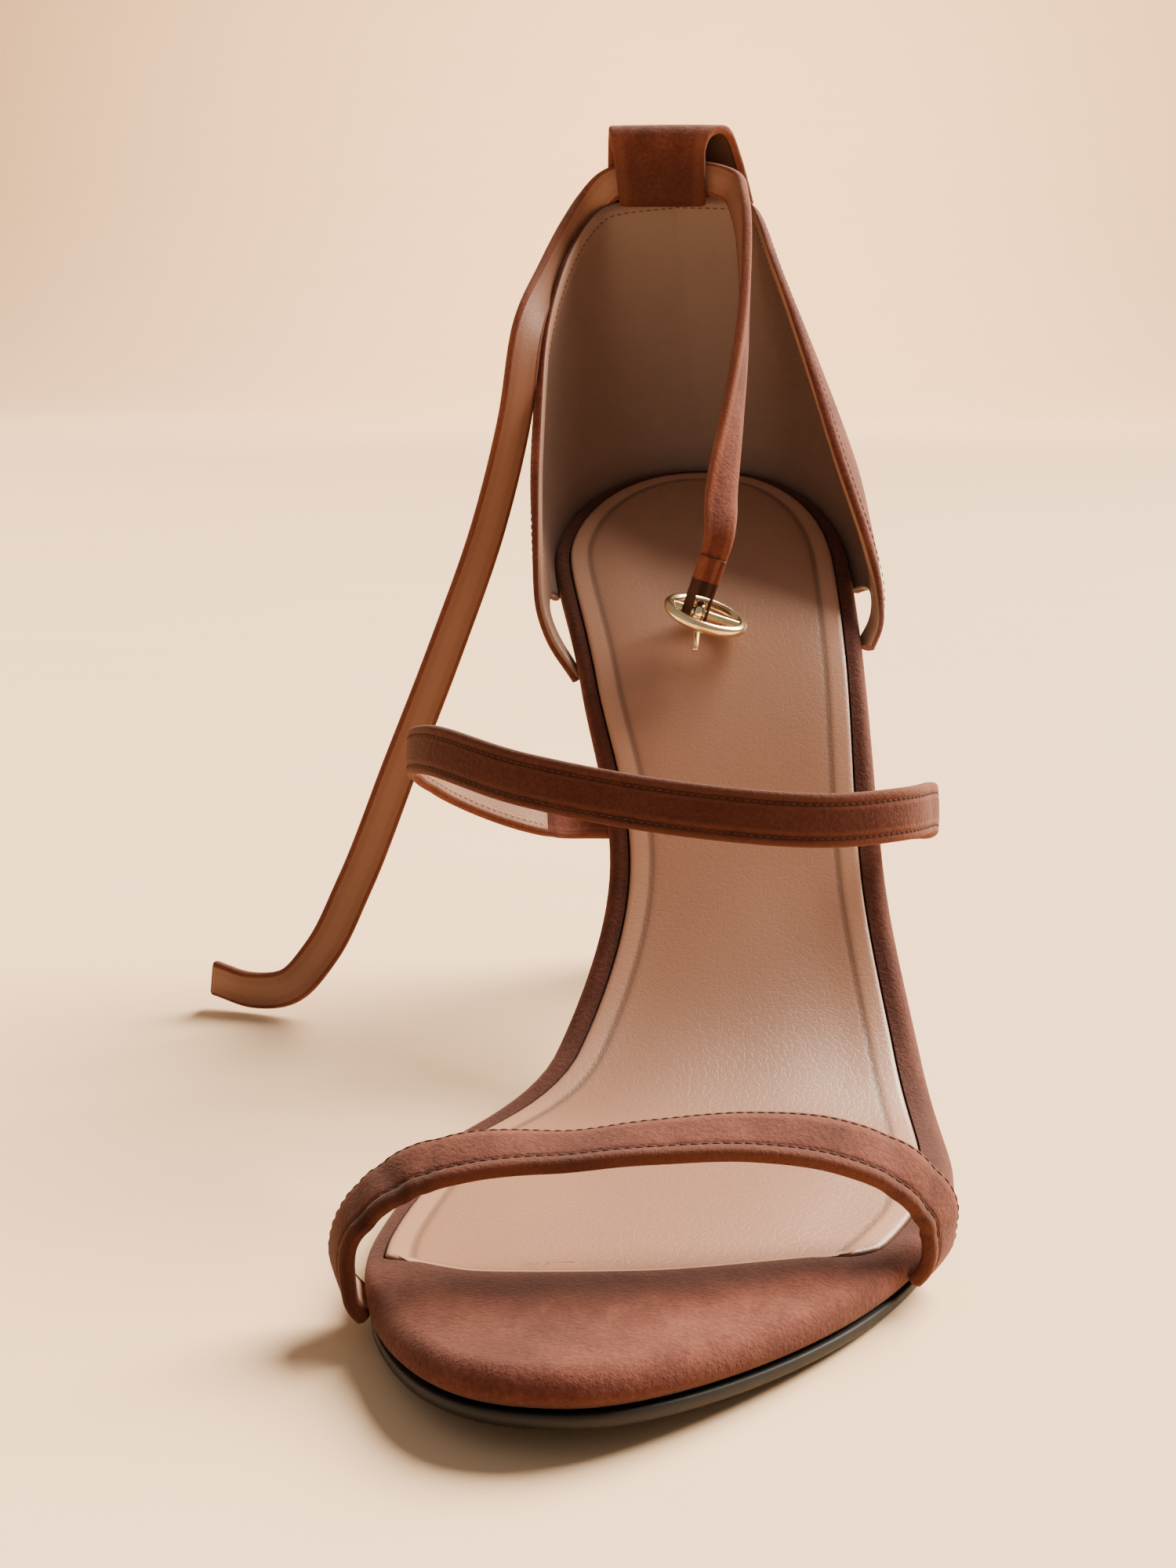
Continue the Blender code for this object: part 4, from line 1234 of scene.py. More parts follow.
@dataclass
class Heel:
    """Slim suede covered heel with its black top piece."""

    last: Last
    breast: float = 199.0
    inset: float = 1.0
    seat_depth: float = 5.0
    tip_thick: float = 5.6
    side_points: int = 40
    breast_points: int = 17
    ring_count: int = 46
    ring_power: float = 1.4
    # Painted shade under the sole, at the top of the heel.
    seat_shade: float = 0.6
    seat_fade: float = 30.0
    tip_radius: float = 6.0
    rows: tuple[HeelRow, ...] = (
        HeelRow(0.1, 36, 38.5, 151),
        HeelRow(0.26, 24, 27.5, 147),
        HeelRow(0.5, 16, 19.5, 145),
        HeelRow(0.75, 12.3, 14.5, 144.5),
        HeelRow(1, 10.8, 12, 145),
    )

    def seat(self) -> np.ndarray:
        """Outline of the seat: outer side, back, inner side and breast, in space.

        Returns:
            The outline's places.
        """
        turn = np.linspace(0, math.pi / 2, self.side_points)
        arc = self.breast + (self.last.length - self.inset - self.breast) * np.sin(turn)
        outer = np.maximum(self.last.edge(arc + self.inset, Side.OUTER) - self.inset, 0)
        inner = np.minimum(self.last.edge(arc + self.inset, Side.INNER) + self.inset, 0)
        share = np.linspace(0, 1, self.breast_points + 2)[1:-1]
        x = np.concatenate([outer, inner[-2::-1], inner[0] + share * (outer[0] - inner[0])])
        along = np.concatenate([arc, arc[-2::-1], np.full(len(share), self.breast)])
        return self.last.bend(along, x, -self.seat_depth)

    def section(self, fall: float) -> np.ndarray:
        """One ring of the heel; the breast hollows out below the seat.

        Args:
            fall: 0 at the seat and 1 at the tip.

        Returns:
            The ring's places.
        """
        top = self.seat()
        wide, deep, back = np.ptp(top[:, 0]), np.ptp(top[:, 1]), top[:, 1].max()
        falls = [0.0] + column(self.rows, "fall")
        width = smooth(falls, [wide] + column(self.rows, "width"), fall)
        length = smooth(falls, [deep] + column(self.rows, "length"), fall)
        behind = smooth(falls, [back] + column(self.rows, "back"), fall)
        x = top[:, 0] * width / wide
        y = behind - (back - top[:, 1]) * length / deep
        z = top[:, 2] * (1 - fall) + (self.tip_thick + GAP) * fall
        return np.stack([x, y, z], axis=1)

    def build(self, finishes: Finishes) -> None:
        """Makes the heel and its tip.

        Args:
            finishes: the shoe's finishes.
        """
        shape = Shape.empty()
        falls = np.linspace(0, 1, self.ring_count) ** self.ring_power
        # Painted shade just under the seat, fading fast down the heel.
        tones = [self.seat_shade * max(0.0, 1 - fall * self.seat_fade) for fall in falls]
        rings = [shape.add_ring(self.section(fall), tone) for fall, tone in zip(falls, tones)]
        shape.skin(rings)
        bed, last = rings[0], 2 * (self.side_points - 1)
        for i in range(self.side_points - 2):
            shape.fill([bed[i], bed[i + 1], bed[last - i - 1], bed[last - i]])
        tip = self.side_points - 1
        shape.fill([bed[tip - 1], bed[tip], bed[tip + 1]])
        shape.fill([bed[0], *bed[last:]])
        shape.fill(rings[-1])
        settle(shape.piece("heel_suede", [finishes.suede]), Body.SHOE, Slot.SUEDE, "heel")
        settle(self.tip(finishes), Body.SHOE, Slot.SOLE, "heel_tip")

    def tip(self, finishes: Finishes) -> bpy.types.Object:
        """Top piece with a small round at its rims.

        Args:
            finishes: the shoe's finishes.

        Returns:
            The new piece.
        """
        shape = Shape.empty()
        section = self.section(1.0)
        middle = section.mean(axis=0)
        rings = []
        top = self.tip_thick
        for shrink, height in ((0.5, 0.0), (0.12, 0.12), (0.0, 0.5), (0.0, top - 0.3), (0.3, top)):
            ring = middle + (section - middle) * (1 - shrink / self.tip_radius)
            ring[:, 2] = height
            rings.append(shape.add_ring(ring))
        shape.skin(rings)
        shape.fill(rings[0])
        shape.fill(rings[-1])
        return shape.piece("heel_tip_black", [finishes.sole])


class Crease(NamedTuple):
    """Dent across a strap: its place along it, depth, half width and lean."""

    at: float
    depth: float
    spread: float
    lean: float


@dataclass(frozen=True)
class StrapSection:
    """Section of a sewn strap: a crowned suede face that turns round both edges, and a lining."""

    width: float
    thick: float
    crown: float = 0.2
    edge_round: float = 0.7
    turn_in: float = 1.0
    lining_sink: float = 0.15
    rows: tuple[float, ...] = ()
    row_depth: float = 0.16
    row_spread: float = 0.35
    # Painted shade along the sewn rows.
    row_shade: float = 0.45
    bead: float = 0.0
    # Painted shade on the beaded edge.
    bead_shade: float = 0.0
    bead_place: float = 0.9
    bead_spread: float = 0.6
    bead_reach: float = 1.9
    face_points: int = 15
    lining_points: int = 7
    seam_width: float = 0.4
    seam_reach: float = 1.2
    seam_tone: float = 0.7
    # Painted shade towards the strap's back, on its rounded edges.
    underside_shade: float = 0.1

    def face_height(self, across: np.ndarray) -> np.ndarray:
        """Height of the suede face, with its sewn rows sunk in and its first edge beaded.

        Args:
            across: places across the strap.

        Returns:
            One height for each.
        """
        half = self.width / 2
        height = self.thick / 2 + self.crown * (1 - (across / half) ** 2)
        for row in self.rows:
            height = height - self.row_depth * np.exp(-(((across - row) / self.row_spread) ** 2))
        if self.bead:
            place = (across + half - self.bead_place) / self.bead_spread
            height = height + self.bead * np.exp(-(place**2))
        return height

    def edge_radius(self) -> float:
        """Radius of the edges, which fits the strap's thickness."""
        return min(self.edge_round, self.thick / 2 - 0.05)

    def corner(self, sign: int, start: float) -> list[tuple[float, float]]:
        """Round of one edge, from the face to the back.

        Args:
            sign: -1 for the first edge and 1 for the last.
            start: the face's height there.

        Returns:
            (across, out) places in the section's order.
        """
        half, flat, r = self.width / 2, self.thick / 2, self.edge_radius()
        out: list[tuple[float, float]] = []
        for level, turns in ((start - r, (25, 50, 72, 90)), (r - flat, (90, 120, 150, 180))):
            out += [(sign * (half - r + r * math.sin(t)), level + r * math.cos(t)) for t in np.radians(turns)]
        return out if sign < 0 else out[::-1]

    def outline(self) -> tuple[np.ndarray, np.ndarray, np.ndarray, np.ndarray]:
        """Closed section.

        Returns:
            (across, out) places, the material number of each stretch, and the shadow and margin of
            each place.
        """
        half, flat, r = self.width / 2, self.thick / 2, self.edge_radius()
        extra = [row + d * self.row_spread for row in self.rows for d in (-1.6, -0.7, 0.0, 0.7, 1.6)]
        even = np.linspace(r - half, half - r, self.face_points)
        face = np.unique(np.round(np.concatenate([even, np.clip(extra, r - half, half - r)]), 3))[::-1]
        heights = self.face_height(face)
        places = list(zip(face, heights))
        parts = [0] * len(places)
        # Painted shade along the sewn rows and on the beaded edge.
        shadow = []
        for a in face:
            near = [math.exp(-(((a - row) / self.row_spread) ** 2)) for row in self.rows]
            shadow.append(self.row_shade * max(near or [0.0]) + self.bead_shade * (a < self.bead_reach - half))
        left, right = self.corner(-1, heights[-1]), self.corner(1, heights[0])
        inner, level = half - self.turn_in, -flat + self.lining_sink
        lined = np.linspace(-inner + self.seam_width, inner - self.seam_width, self.lining_points)
        back = [(-inner, -flat, 0.0), (-inner, level, self.seam_tone)]
        back += [(a, level, 0.0) for a in lined]
        back += [(inner, level, self.seam_tone), (inner, -flat, 0.0)]
        places += left + [(a, b) for a, b, _ in back] + right
        lining = [1 if 1 <= k < len(back) - 2 else 0 for k in range(len(back))]
        parts += [0] * len(left) + lining + [0] * len(right)
        # Painted shade on the rounded edges, deeper towards the back; the beaded edge takes its shade too.
        shadow += [self.bead_shade + self.underside_shade * max(0.0, -b / flat) for _, b in left]
        shadow += [dark for _, _, dark in back]
        shadow += [self.underside_shade * max(0.0, -b / flat) for _, b in right]
        margin = [1.0 if abs(abs(a) - inner) < self.seam_reach else 0.0 for a, _ in places]
        return np.array(places), np.array(parts), np.array(shadow), np.array(margin)


@dataclass
class Ribbon:
    """A strap laid along a line, with a direction across it at every place."""

    path: np.ndarray
    across: np.ndarray
    section: StrapSection
    creases: tuple[Crease, ...] = ()
    scale: Any = 1.0
    shift: Any = 0.0
    # Painted shade on the face, one value or one for each place.
    tone: Any = 0.0
    bare_start: float = 0.0
    bare_end: float = 0.0
    # Painted shade in the creases, for each millimetre of depth.
    crease_shade: float = 0.9
    end_width: float = 0.94
    end_thick: float = 0.6
    end_tone: float = 0.2

    def __post_init__(self) -> None:
        """Squares the directions up."""
        along = unit(np.gradient(self.path, axis=0))
        self.across = unit(self.across - np.sum(self.across * along, axis=1, keepdims=True) * along)
        self.out = np.cross(along, self.across)
        self.way = way_along(self.path)
        self.scale, self.shift, self.tone = (
            np.broadcast_to(np.asarray(n, float), len(self.path)) for n in (self.scale, self.shift, self.tone)
        )
        self.path = self.path + self.shift[:, None] * self.across

    def dent(self, across: np.ndarray, way: float) -> np.ndarray:
        """Depth of the creases at one place along the strap.

        Args:
            across: places across the strap.
            way: way along it.

        Returns:
            One depth for each.
        """
        depth = np.zeros_like(across)
        for crease in self.creases:
            at = way - crease.at - crease.lean * across
            depth += crease.depth * np.exp(-((at / crease.spread) ** 2))
        return depth

    def shape(self, ends: float = 0.45) -> Shape:
        """Mesh of the strap, its ends softly rounded.

        Args:
            ends: how far the rounded ends stand out.

        Returns:
            The closed shape.
        """
        places, parts, shadow, margin = self.section.outline()
        shape = Shape.empty()
        rings = []
        total = self.way[-1]
        for k, centre in enumerate(self.path):
            a, b = places[:, 0] * self.scale[k], places[:, 1]
            dent = self.dent(a, self.way[k])
            b = b - dent
            offset = centre + a[:, None] * self.across[k] + b[:, None] * self.out[k]
            # Painted shade: the section's own, deeper in creases, and the ribbon's shade on its face.
            darker = np.clip(shadow + dent * self.crease_shade + self.tone[k] * (places[:, 1] > 0), 0, 1)
            rings.append(shape.add_ring(offset, darker, margin))
        for near, ring, other in zip(self.way, rings, rings[1:]):
            bare = near < self.bare_start or near > total - self.bare_end
            shape.bridge(ring, other, np.zeros_like(parts) if bare else parts)
        for end, beside in ((0, 1), (-1, -2)):
            step = unit(self.path[end] - self.path[beside])
            wide = (places[:, 0] * self.scale[end] * self.end_width)[:, None] * self.across[end]
            deep = (places[:, 1] * self.end_thick)[:, None] * self.out[end]
            cap = shape.add_ring(self.path[end] + step * ends + wide + deep, self.end_tone, margin)
            shape.bridge(rings[end], cap)
            shape.fill(cap)
        return shape

    def row(self, across: float, lift: float = 0.02, back: bool = False, trim: float = 1.5) -> np.ndarray:
        """Line of a sewn row on the strap's face or on its back.

        Args:
            across: place of the row across the strap.
            lift: height over the leather.
            back: whether it is on the lining.
            trim: length left unsewn at each end.

        Returns:
            The row's points.
        """
        keep = (self.way > trim) & (self.way < self.way[-1] - trim)
        if back:
            level = -(self.section.thick / 2 - self.section.lining_sink) - lift
        else:
            level = float(self.section.face_height(np.array([across]))[0]) + lift
        a = across * self.scale
        dent = np.array([self.dent(np.array([x]), w)[0] for x, w in zip(a, self.way)])
        line = self.path + a[:, None] * self.across + (level - dent)[:, None] * self.out
        return line[keep]


class ToeStrapRow(NamedTuple):
    """Middle line of the toe strap, with the lean of its width."""

    x: float
    y: float
    z: float
    splay: float
    rise: float


@dataclass
class ToeStrap:
    """Folded strap over the toes: a beaded front edge, sewn rows, creases at its shoulders."""

    last: Last
    feet: tuple[float, float] = (30.5, 45.0)
    stand_off: float = 1.6
    foot_depth: float = 3.9
    tuck: float = 0.5
    sunk: float = 1.3
    points: int = 260
    # Painted shade on the face, darkest near the inner shoulder.
    shoulder_shade: float = 0.45
    shade_places: tuple[float, ...] = (0.0, 0.06, 0.16, 0.32, 1.0)
    shade_shares: tuple[float, ...] = (0.4, 1.0, 0.9, 0.15, 0.1)
    stitch: Stitch = Stitch(1.4, 1.05, 0.17)
    stitch_trim: float = 3.0
    # The beaded front edge takes painted shade.
    section: StrapSection = StrapSection(
        9.4, 1.8, crown=0.3, edge_round=0.75, rows=(-2.7, 3.9), row_depth=0.2, bead=0.22, bead_shade=0.42
    )
    creases: tuple[Crease, ...] = (
        Crease(15.5, 0.22, 1.1, 0.15),
        Crease(20.0, 0.30, 1.4, -0.2),
        Crease(25.5, 0.18, 1.2, 0.3),
        Crease(44.0, 0.25, 5.0, 0.25),
        Crease(86.0, 0.22, 1.6, -0.25),
        Crease(92.5, 0.30, 1.3, -0.1),
        Crease(98.0, 0.20, 1.2, 0.2),
    )
    rows: tuple[ToeStrapRow, ...] = (
        ToeStrapRow(-44.6, -34.5, 9.8, -0.4, -0.1),
        ToeStrapRow(-44.2, -34.2, 13.5, -0.35, 0),
        ToeStrapRow(-41.8, -33.8, 17.4, -0.25, 0.2),
        ToeStrapRow(-36.2, -32.6, 21.4, -0.15, 0.27),
        ToeStrapRow(-29.6, -31.5, 23.1, -0.1, 0.27),
        ToeStrapRow(-16, -28.7, 23.4, -0.05, 0.1),
        ToeStrapRow(-5.5, -26.8, 23.9, 0, 0.17),
        ToeStrapRow(7.4, -24.3, 23.9, 0.05, 0.28),
        ToeStrapRow(19, -22, 21.8, 0.2, 0.38),
        ToeStrapRow(27.6, -20.4, 17.4, 0.5, 0.25),
        ToeStrapRow(31.9, -19.5, 11.6, 0.6, 0.1),
    )

    def foot(self, arc: float, side: Side, share: float) -> tuple[float, ...]:
        """Row of the strap's line beside the sole's edge.

        Args:
            arc: place along the foot bed.
            side: side of the foot.
            share: share of the depth.

        Returns:
            A row as in the strap's table.
        """
        off = self.stand_off - self.tuck * (2 * share - 1) - self.sunk * max(0.0, 2 * share - 1)
        place = self.last.bend(arc, self.last.edge(arc, side) + side.value * off, -self.foot_depth * share)
        splay = (self.last.edge(arc + 1, side) - self.last.edge(arc - 1, side)) / 2
        return (*place, float(splay), 0.0)

    def build(self, finishes: Finishes, stitcher: Stitcher) -> None:
        """Makes the strap and its stitches.

        Args:
            finishes: the shoe's finishes.
            stitcher: sews the rows.
        """
        start, end = self.feet
        rows = [self.foot(start, Side.INNER, 1), self.foot(start, Side.INNER, 0.5), *self.rows]
        rows += [self.foot(end, Side.OUTER, 0.5), self.foot(end, Side.OUTER, 1)]
        line = curve_through(rows, self.points)
        across = np.stack([line[:, 3], np.ones(len(line)), line[:, 4]], axis=1)
        share = np.linspace(0, 1, len(line))
        # Painted shade on the strap's face.
        tone = self.shoulder_shade * smooth(self.shade_places, self.shade_shares, share)
        ribbon = Ribbon(line[:, :3], across, self.section, self.creases, tone=tone)
        piece = ribbon.shape().piece("toe_strap_suede", [finishes.suede, finishes.strap_lining])
        settle(piece, Body.SHOE, Slot.SUEDE, "toe_strap")
        lines = [ribbon.row(a, trim=self.stitch_trim) for a in self.section.rows]
        settle(stitcher.sew("toe_strap_stitches", lines, self.stitch), Body.SHOE, Slot.DARK)


class InstepRow(NamedTuple):
    """Middle line of the instep strap, with the lean of its width from upright."""

    x: float
    y: float
    z: float
    lean: float


@dataclass
class InstepStrap:
    """Narrow strap that stands off over the instep, sewn along both edges."""

    last: Last
    feet: tuple[float, float] = (151.0, 151.5)
    sunk: float = 1.4
    foot_depth: float = 3.1
    stand_off: float = 1.0
    foot_run: float = 2.5
    foot_lean: float = 38.5
    points: int = 330
    # Painted shade on the face, darkest across the front.
    front_shade: float = 0.72
    shade_places: tuple[float, ...] = (0.0, 0.2, 0.32, 0.62, 0.8, 1.0)
    shade_shares: tuple[float, ...] = (0.2, 0.5, 1.0, 0.9, 0.1, 0.0)
    width_places: tuple[float, ...] = (0.0, 0.2, 0.34, 0.84, 0.93, 1.0)
    width_shares: tuple[float, ...] = (0.88, 0.88, 1.0, 1.0, 0.8, 0.8)
    bare: tuple[float, float] = (13.5, 10.0)
    stitch: Stitch = Stitch(1.15, 0.85, 0.16)
    stitch_trim: float = 14.0
    lining_stitch: Stitch = Stitch(1.15, 0.8, 0.12)
    lining_trim: float = 15.0
    lining_rows: tuple[float, float] = (-2.0, 1.9)
    section: StrapSection = StrapSection(
        8.0, 1.8, crown=0.15, edge_round=0.75, rows=(-2.6, 2.4), row_depth=0.17
    )
    creases: tuple[Crease, ...] = (
        Crease(13.0, 0.25, 1.3, 0.2),
        Crease(37.0, 0.16, 1.6, 0.1),
        Crease(42.0, 0.20, 1.8, -0.1),
        Crease(47.0, 0.14, 1.4, 0.15),
        Crease(150.0, 0.14, 1.8, -0.1),
        Crease(158.0, 0.18, 1.6, 0.1),
    )
    rows: tuple[InstepRow, ...] = (
        InstepRow(-27.6, 66.5, 45.5, 34),
        InstepRow(-40.7, 59, 52.2, 26),
        InstepRow(-46.5, 50, 58.6, 16),
        InstepRow(-42.3, 38, 62, 10),
        InstepRow(-27, 24, 60.5, 8),
        InstepRow(-3, 19, 57.3, 8),
        InstepRow(20.5, 22, 55.2, 8),
        InstepRow(30, 29, 54.7, 10),
        InstepRow(36, 43, 52.7, 18),
        InstepRow(36.3, 60, 47.2, 31),
    )

    def foot(self, arc: float, side: Side, run: float) -> tuple[float, ...]:
        """Row of the strap's line at the sole's side.

        Args:
            arc: place along the foot bed.
            side: side of the foot.
            run: way out from the edge.

        Returns:
            A row as in the strap's table.
        """
        out = self.stand_off + run - (0.0 if run else self.sunk)
        place = self.last.bend(arc, self.last.edge(arc, side) + side.value * out, -self.foot_depth)
        return (*place, self.foot_lean)

    def build(self, finishes: Finishes, stitcher: Stitcher) -> None:
        """Makes the strap and its stitches.

        Args:
            finishes: the shoe's finishes.
            stitcher: sews the rows.
        """
        start, end = self.feet
        rows = [self.foot(start, Side.INNER, 0), self.foot(start, Side.INNER, self.foot_run), *self.rows]
        rows += [self.foot(end, Side.OUTER, self.foot_run), self.foot(end, Side.OUTER, 0)]
        line = curve_through(rows, self.points)
        lean = np.radians(line[:, 3])
        across = np.stack([np.zeros(len(line)), np.sin(lean), np.cos(lean)], axis=1)
        share = np.linspace(0, 1, len(line))
        # Painted shade on the strap's face.
        tone = self.front_shade * smooth(self.shade_places, self.shade_shares, share)
        scale = smooth(self.width_places, self.width_shares, share)
        ribbon = Ribbon(line[:, :3], across, self.section, self.creases, scale, 0.0, tone, *self.bare)
        piece = ribbon.shape().piece("instep_strap_suede", [finishes.suede, finishes.strap_lining])
        settle(piece, Body.SHOE, Slot.SUEDE, "instep_strap")
        lines = [ribbon.row(a, trim=self.stitch_trim) for a in self.section.rows]
        settle(stitcher.sew("instep_strap_stitches", lines, self.stitch), Body.SHOE, Slot.DARK)
        inside = [ribbon.row(a, back=True, trim=self.lining_trim) for a in self.lining_rows]
        sewn = stitcher.sew("instep_lining_stitches", inside, self.lining_stitch, finishes.pale_thread)
        settle(sewn, Body.SHOE, Slot.LEATHER)


class TopRow(NamedTuple):
    """Top edge of the counter; reach is the way round the sole's edge from the back of the heel."""

    reach: float
    x: float
    y: float
    z: float


class BulgeRow(NamedTuple):
    """Swelling of the counter's wall."""

    reach: float
    out: float


@dataclass
class Counter:
    """Closed back: suede outside, leather lining inside, cut away over the sole at its wings."""

    last: Last
    thick: float = 2.0
    foot_depth: float = 3.7
    notch_share: float = 0.55
    columns: int = 110
    levels: int = 40
    top_relax: int = 4
    strip: float = 3.2
    strip_start: float = 1.6
    wing_rate: float = 5.0
    rim_round: float = 0.8
    # Painted shade near the sole: on the suede outside and the lining inside.
    seat_reach: float = 9.0
    seat_shades: tuple[float, float] = (0.25, 0.65)
    sharp: float = 70.0
    inside: Triple = (0.0, 110.0, 120.0)
    stitch: Stitch = Stitch(1.5, 1.05, 0.1)
    stitch_depths: tuple[float, float] = (2.4, 2.2)
    stitch_lift: float = 0.02
    stitch_trim: int = 6
    inner_top: tuple[TopRow, ...] = (
        TopRow(0, -6.5, 155.3, 153.0),
        TopRow(15, -20, 152.3, 151.0),
        TopRow(28, -27.8, 138.5, 139),
        TopRow(41.5, -30.9, 124.8, 121),
        TopRow(53.5, -31.0, 113.2, 104),
        TopRow(67, -30.5, 102.4, 87),
        TopRow(74, -30.1, 97.8, 79),
        TopRow(80, -27.9, 94.6, 72),
        TopRow(86, -22.4, 92.0, 64.6),
    )
    outer_top: tuple[TopRow, ...] = (
        TopRow(0, -6.5, 155.3, 153.0),
        TopRow(15, 7, 152.3, 152.2),
        TopRow(27, 12.6, 138.3, 139),
        TopRow(39.5, 18.6, 125.2, 121),
        TopRow(50.5, 23.8, 114.7, 104),
        TopRow(61, 29.6, 104.7, 87),
        TopRow(67, 31.4, 101, 80),
        TopRow(72, 31.8, 98.4, 75),
        TopRow(77, 30.2, 96.2, 70.5),
    )
    inner_bulge: tuple[BulgeRow, ...] = (
        BulgeRow(0, 4.5),
        BulgeRow(20, 3.5),
        BulgeRow(45, 2.5),
        BulgeRow(64, 1),
        BulgeRow(90, 0),
    )
    outer_bulge: tuple[BulgeRow, ...] = (
        BulgeRow(0, 4.5),
        BulgeRow(20, 4.2),
        BulgeRow(45, 4.6),
        BulgeRow(58, 2.8),
        BulgeRow(67, 1.2),
        BulgeRow(77, 0),
    )
    seat: float = 0.15
    notches: tuple[tuple[float, float], tuple[float, float]] = ((65.0, 84.0), (60.0, 75.0))

    def half(self, side: Side) -> np.ndarray:
        """Middle surface of one half, as columns from the sole's edge to the top edge.

        Args:
            side: side of the foot.

        Returns:
            A grid of places.
        """
        top_rows = self.inner_top if side is Side.INNER else self.outer_top
        start, end = self.notches[0 if side is Side.INNER else 1]
        reach = np.linspace(0, top_rows[-1].reach, self.columns)
        arc, x, normal = self.last.heel_edge(reach, side)
        foot = self.last.bend(arc + self.seat * normal[:, 0], x + self.seat * normal[:, 1], -self.foot_depth)
        knots = column(top_rows, "reach")
        top = np.stack([smooth(knots, column(top_rows, axis), reach) for axis in "xyz"], axis=1)
        top = relaxed(top, self.top_relax)
        angle = np.interp(arc, self.last.arc, self.last.angle)
        out = unit(np.stack([normal[:, 1], normal[:, 0] * np.cos(angle), np.zeros(len(reach))], axis=1))
        bulges = self.inner_bulge if side is Side.INNER else self.outer_bulge
        bulge = smooth(column(bulges, "reach"), column(bulges, "out"), reach)
        low = self.notch_share * np.sin(math.pi * np.clip((reach - start) / (end - start), 0, 1))
        rise = low[:, None] + (1 - low[:, None]) * np.linspace(0, 1, self.levels + 1)[None, :]
        grid = foot[:, None] + (top - foot)[:, None] * rise[..., None]
        return grid + out[:, None] * (bulge[:, None] * 4 * rise * (1 - rise))[..., None]

    def surface(self) -> tuple[np.ndarray, np.ndarray]:
        """Middle surface of the whole counter, and its normals to the inside of the shoe.

        Returns:
            A grid of places and a grid of normals.
        """
        middle = np.concatenate([self.half(Side.INNER)[:0:-1], self.half(Side.OUTER)])
        normal = unit(np.cross(np.gradient(middle, axis=0), np.gradient(middle, axis=1)))
        if np.sum(normal * (np.array(self.inside) - middle)) < 0:
            normal = -normal
        return middle, normal

    def build(self, finishes: Finishes, stitcher: Stitcher) -> None:
        """Makes the counter with rounded rims, and the sewn row along its top edge.

        Args:
            finishes: the shoe's finishes.
            stitcher: sews the rows.
        """
        middle, normal = self.surface()
        shape = Shape.empty()
        half = self.thick / 2
        to_top = np.linalg.norm(middle - middle[:, -1:], axis=2)
        to_foot = np.linalg.norm(middle - middle[:, :1], axis=2)
        near = np.minimum(to_top, to_foot)
        pull = half * (1 - np.sqrt(np.clip(1 - (1 - np.clip(near / half, 0, 1)) ** 2, 0, 1)))
        wing = np.clip(np.abs(np.linspace(-1, 1, len(middle))) * self.wing_rate - 1, 0, 1)[:, None]
        border = np.clip(self.strip_start - to_top / self.strip, 0, 1) * wing
        skins = []
        for sign, tone, margin in zip((-1, 1), self.seat_shades, (np.zeros_like(border), border)):
            skin = middle + (sign * (half - self.rim_round * pull))[..., None] * normal
            # Painted shade near the sole.
            seat = np.clip(1 - to_foot / self.seat_reach, 0, 1) * tone
            skins.append([shape.add_ring(line, dark, edge) for line, dark, edge in zip(skin, seat, margin)])
        for part, skin in enumerate(skins):
            shape.skin(skin, part, closed=False)
        for k in (0, -1):
            shape.bridge([line[k] for line in skins[0]], [line[k] for line in skins[1]], 0, closed=False)
            shape.bridge(skins[0][k], skins[1][k], 0, closed=False)
        piece = shape.piece("counter_back", [finishes.suede, finishes.lining], self.sharp)
        settle(piece, Body.SHOE, Slot.SUEDE, "counter")
        settle(self.stitches(stitcher, middle, normal), Body.SHOE, Slot.DARK)

    def stitches(self, stitcher: Stitcher, middle: np.ndarray, normal: np.ndarray) -> bpy.types.Object:
        """Sewn row under the top edge, outside and inside.

        Args:
            stitcher: sews the rows.
            middle: the counter's middle surface.
            normal: its normals.

        Returns:
            The stitches.
        """
        down = unit(middle[:, -4] - middle[:, -1])
        lines = []
        for sign, depth in zip((-1, 1), self.stitch_depths):
            line = middle[:, -1] + down * depth + normal[:, -2] * sign * (self.thick / 2 + self.stitch_lift)
            lines.append(line[self.stitch_trim : -self.stitch_trim])
        return stitcher.sew("counter_stitches", lines, self.stitch)


class TabRow(NamedTuple):
    """Sides of the tab over its length."""

    share: float
    inner: float
    outer: float


